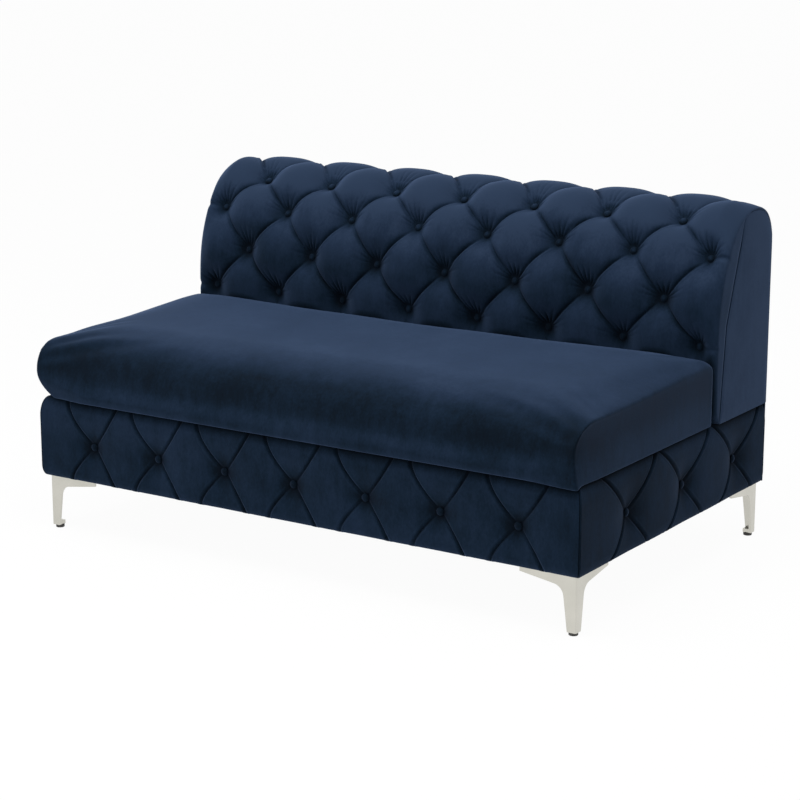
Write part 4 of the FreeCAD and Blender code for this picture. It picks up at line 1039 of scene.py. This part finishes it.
def make_floor():
    """Pale floor that looks almost white and keeps a light shadow."""
    mesh = bpy.data.meshes.new("floor")
    corners = [(-FLOOR_HALF, -FLOOR_HALF, 0), (FLOOR_HALF, -FLOOR_HALF, 0),
               (FLOOR_HALF, FLOOR_HALF, 0), (-FLOOR_HALF, FLOOR_HALF, 0)]
    mesh.from_pydata(corners, [], [(0, 1, 2, 3)])
    floor = bpy.data.objects.new("floor", mesh)
    bpy.context.collection.objects.link(floor)
    material = bpy.data.materials.new("pale_floor")
    material.use_nodes = True
    tree = material.node_tree
    tree.nodes.clear()
    matt = put(tree, "ShaderNodeBsdfDiffuse", Color=FLOOR_COLOUR)
    white = put(tree, "ShaderNodeEmission", Color=WHITE, Strength=1.0)
    mixed = tree.nodes.new("ShaderNodeMixShader")
    tree.links.new(maths(tree, "MULTIPLY", seen_ray(tree), FLOOR_WHITE), mixed.inputs["Fac"])
    tree.links.new(matt.outputs[0], mixed.inputs[1])
    tree.links.new(white.outputs[0], mixed.inputs[2])
    out = tree.nodes.new("ShaderNodeOutputMaterial")
    tree.links.new(mixed.outputs[0], out.inputs["Surface"])
    mesh.materials.append(material)


def make_surround():
    """Even white surround."""
    world = bpy.data.worlds.new("surround")
    world.use_nodes = True
    bpy.context.scene.world = world
    tree = world.node_tree
    background = tree.nodes["Background"]
    background.inputs["Color"].default_value = WHITE
    strength = scaled(tree, seen_ray(tree), SURROUND_SEEN, SURROUND_LIGHT)
    tree.links.new(strength, background.inputs["Strength"])


empty_scene()
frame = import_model()
bpy.context.scene.view_settings.view_transform = "Standard"

# The second value of each velvet is painted light or shade: lit and shaded copies of one navy velvet,
# lightest on the plain panels of the back
plain_navy = velvet("plain_velvet", 0.42)
deck_cloth = woven("deck_cloth", (0.010, 0.013, 0.020), (0.026, 0.031, 0.044), threads=240.0, strength=0.3)
dust_cloth = woven("dust_cloth", (0.008, 0.008, 0.009), (0.024, 0.024, 0.026), threads=300.0, strength=0.2)
zip_cloth = woven("zip_cloth", (0.010, 0.012, 0.020), (0.030, 0.034, 0.050), threads=420.0, strength=0.25)

# Back pad velvet: painted light offset, with painted light and shade by height
make_back_pad(velvet("navy_velvet", 0.19, BACK_LIGHT_AND_SHADE_BANDS))
make_back_sides(plain_navy)
make_slab("back_outer_velvet", "back_outer_panel", plain_navy, "velvet",
          thick_axis=1, edge=0.005, crown=0.003, reach=OUTER_BACK_REACH)
make_slab("base_rear_velvet", "base_rear_panel", plain_navy, "velvet",
          thick_axis=1, edge=0.005, crown=0.001, reach=BASE_REAR_REACH)
# The base's sides are a painted shaded copy, darker than its front
make_base_panels(velvet("base_velvet", 0.06), velvet("side_velvet", -0.04, sheen=SIDE_SHEEN))
# Seat velvet: painted dark band across the cushion's upper front
make_cushion(velvet("seat_velvet", 0.02, SEAT_LIGHT_AND_SHADE_BANDS))
make_slab("seat_deck_pad", "seat_deck", deck_cloth, "deck_cloth",
          thick_axis=2, edge=0.004, sag=0.002)
make_dust_cover(dust_cloth)

wood_nodes = ["front_rail", "rear_rail", "left_rail", "right_rail", "spring_rail", "centre_stretcher",
              "corner_blocks", "back_left_rib", "back_right_rib", "back_centre_rib", "back_bottom_rail",
              "back_lower_board", "back_upper_board", "back_top_rail"]
steel_nodes = ["seat_springs", "spring_clips", "back_left_bracket", "back_right_bracket", "bracket_screws",
               "leg_screws"]
corners = [f"{depth}_{side}" for depth in ("front", "rear") for side in ("left", "right")]
dress_nodes([
    (wood_nodes, frame_wood()),
    (steel_nodes, spring_steel()),
    ([f"leg_{corner}" for corner in corners], satin_nickel()),
    ([f"glide_{corner}" for corner in corners], glide_plastic()),
    # Buttons painted darker, as shade in their hollows
    ([f"back_buttons_row_{row}" for row in range(1, BUTTON_ROWS + 1)], velvet("button_velvet", -0.05)),
    ([f"base_{panel}_buttons" for panel in ("front", "left", "right")], velvet("base_button_velvet", -0.17)),
    (["zip_tape"], zip_cloth),
    (["zip_slider"], zip_brass()),
])

make_floor()
make_surround()
light_scene()
add_camera()
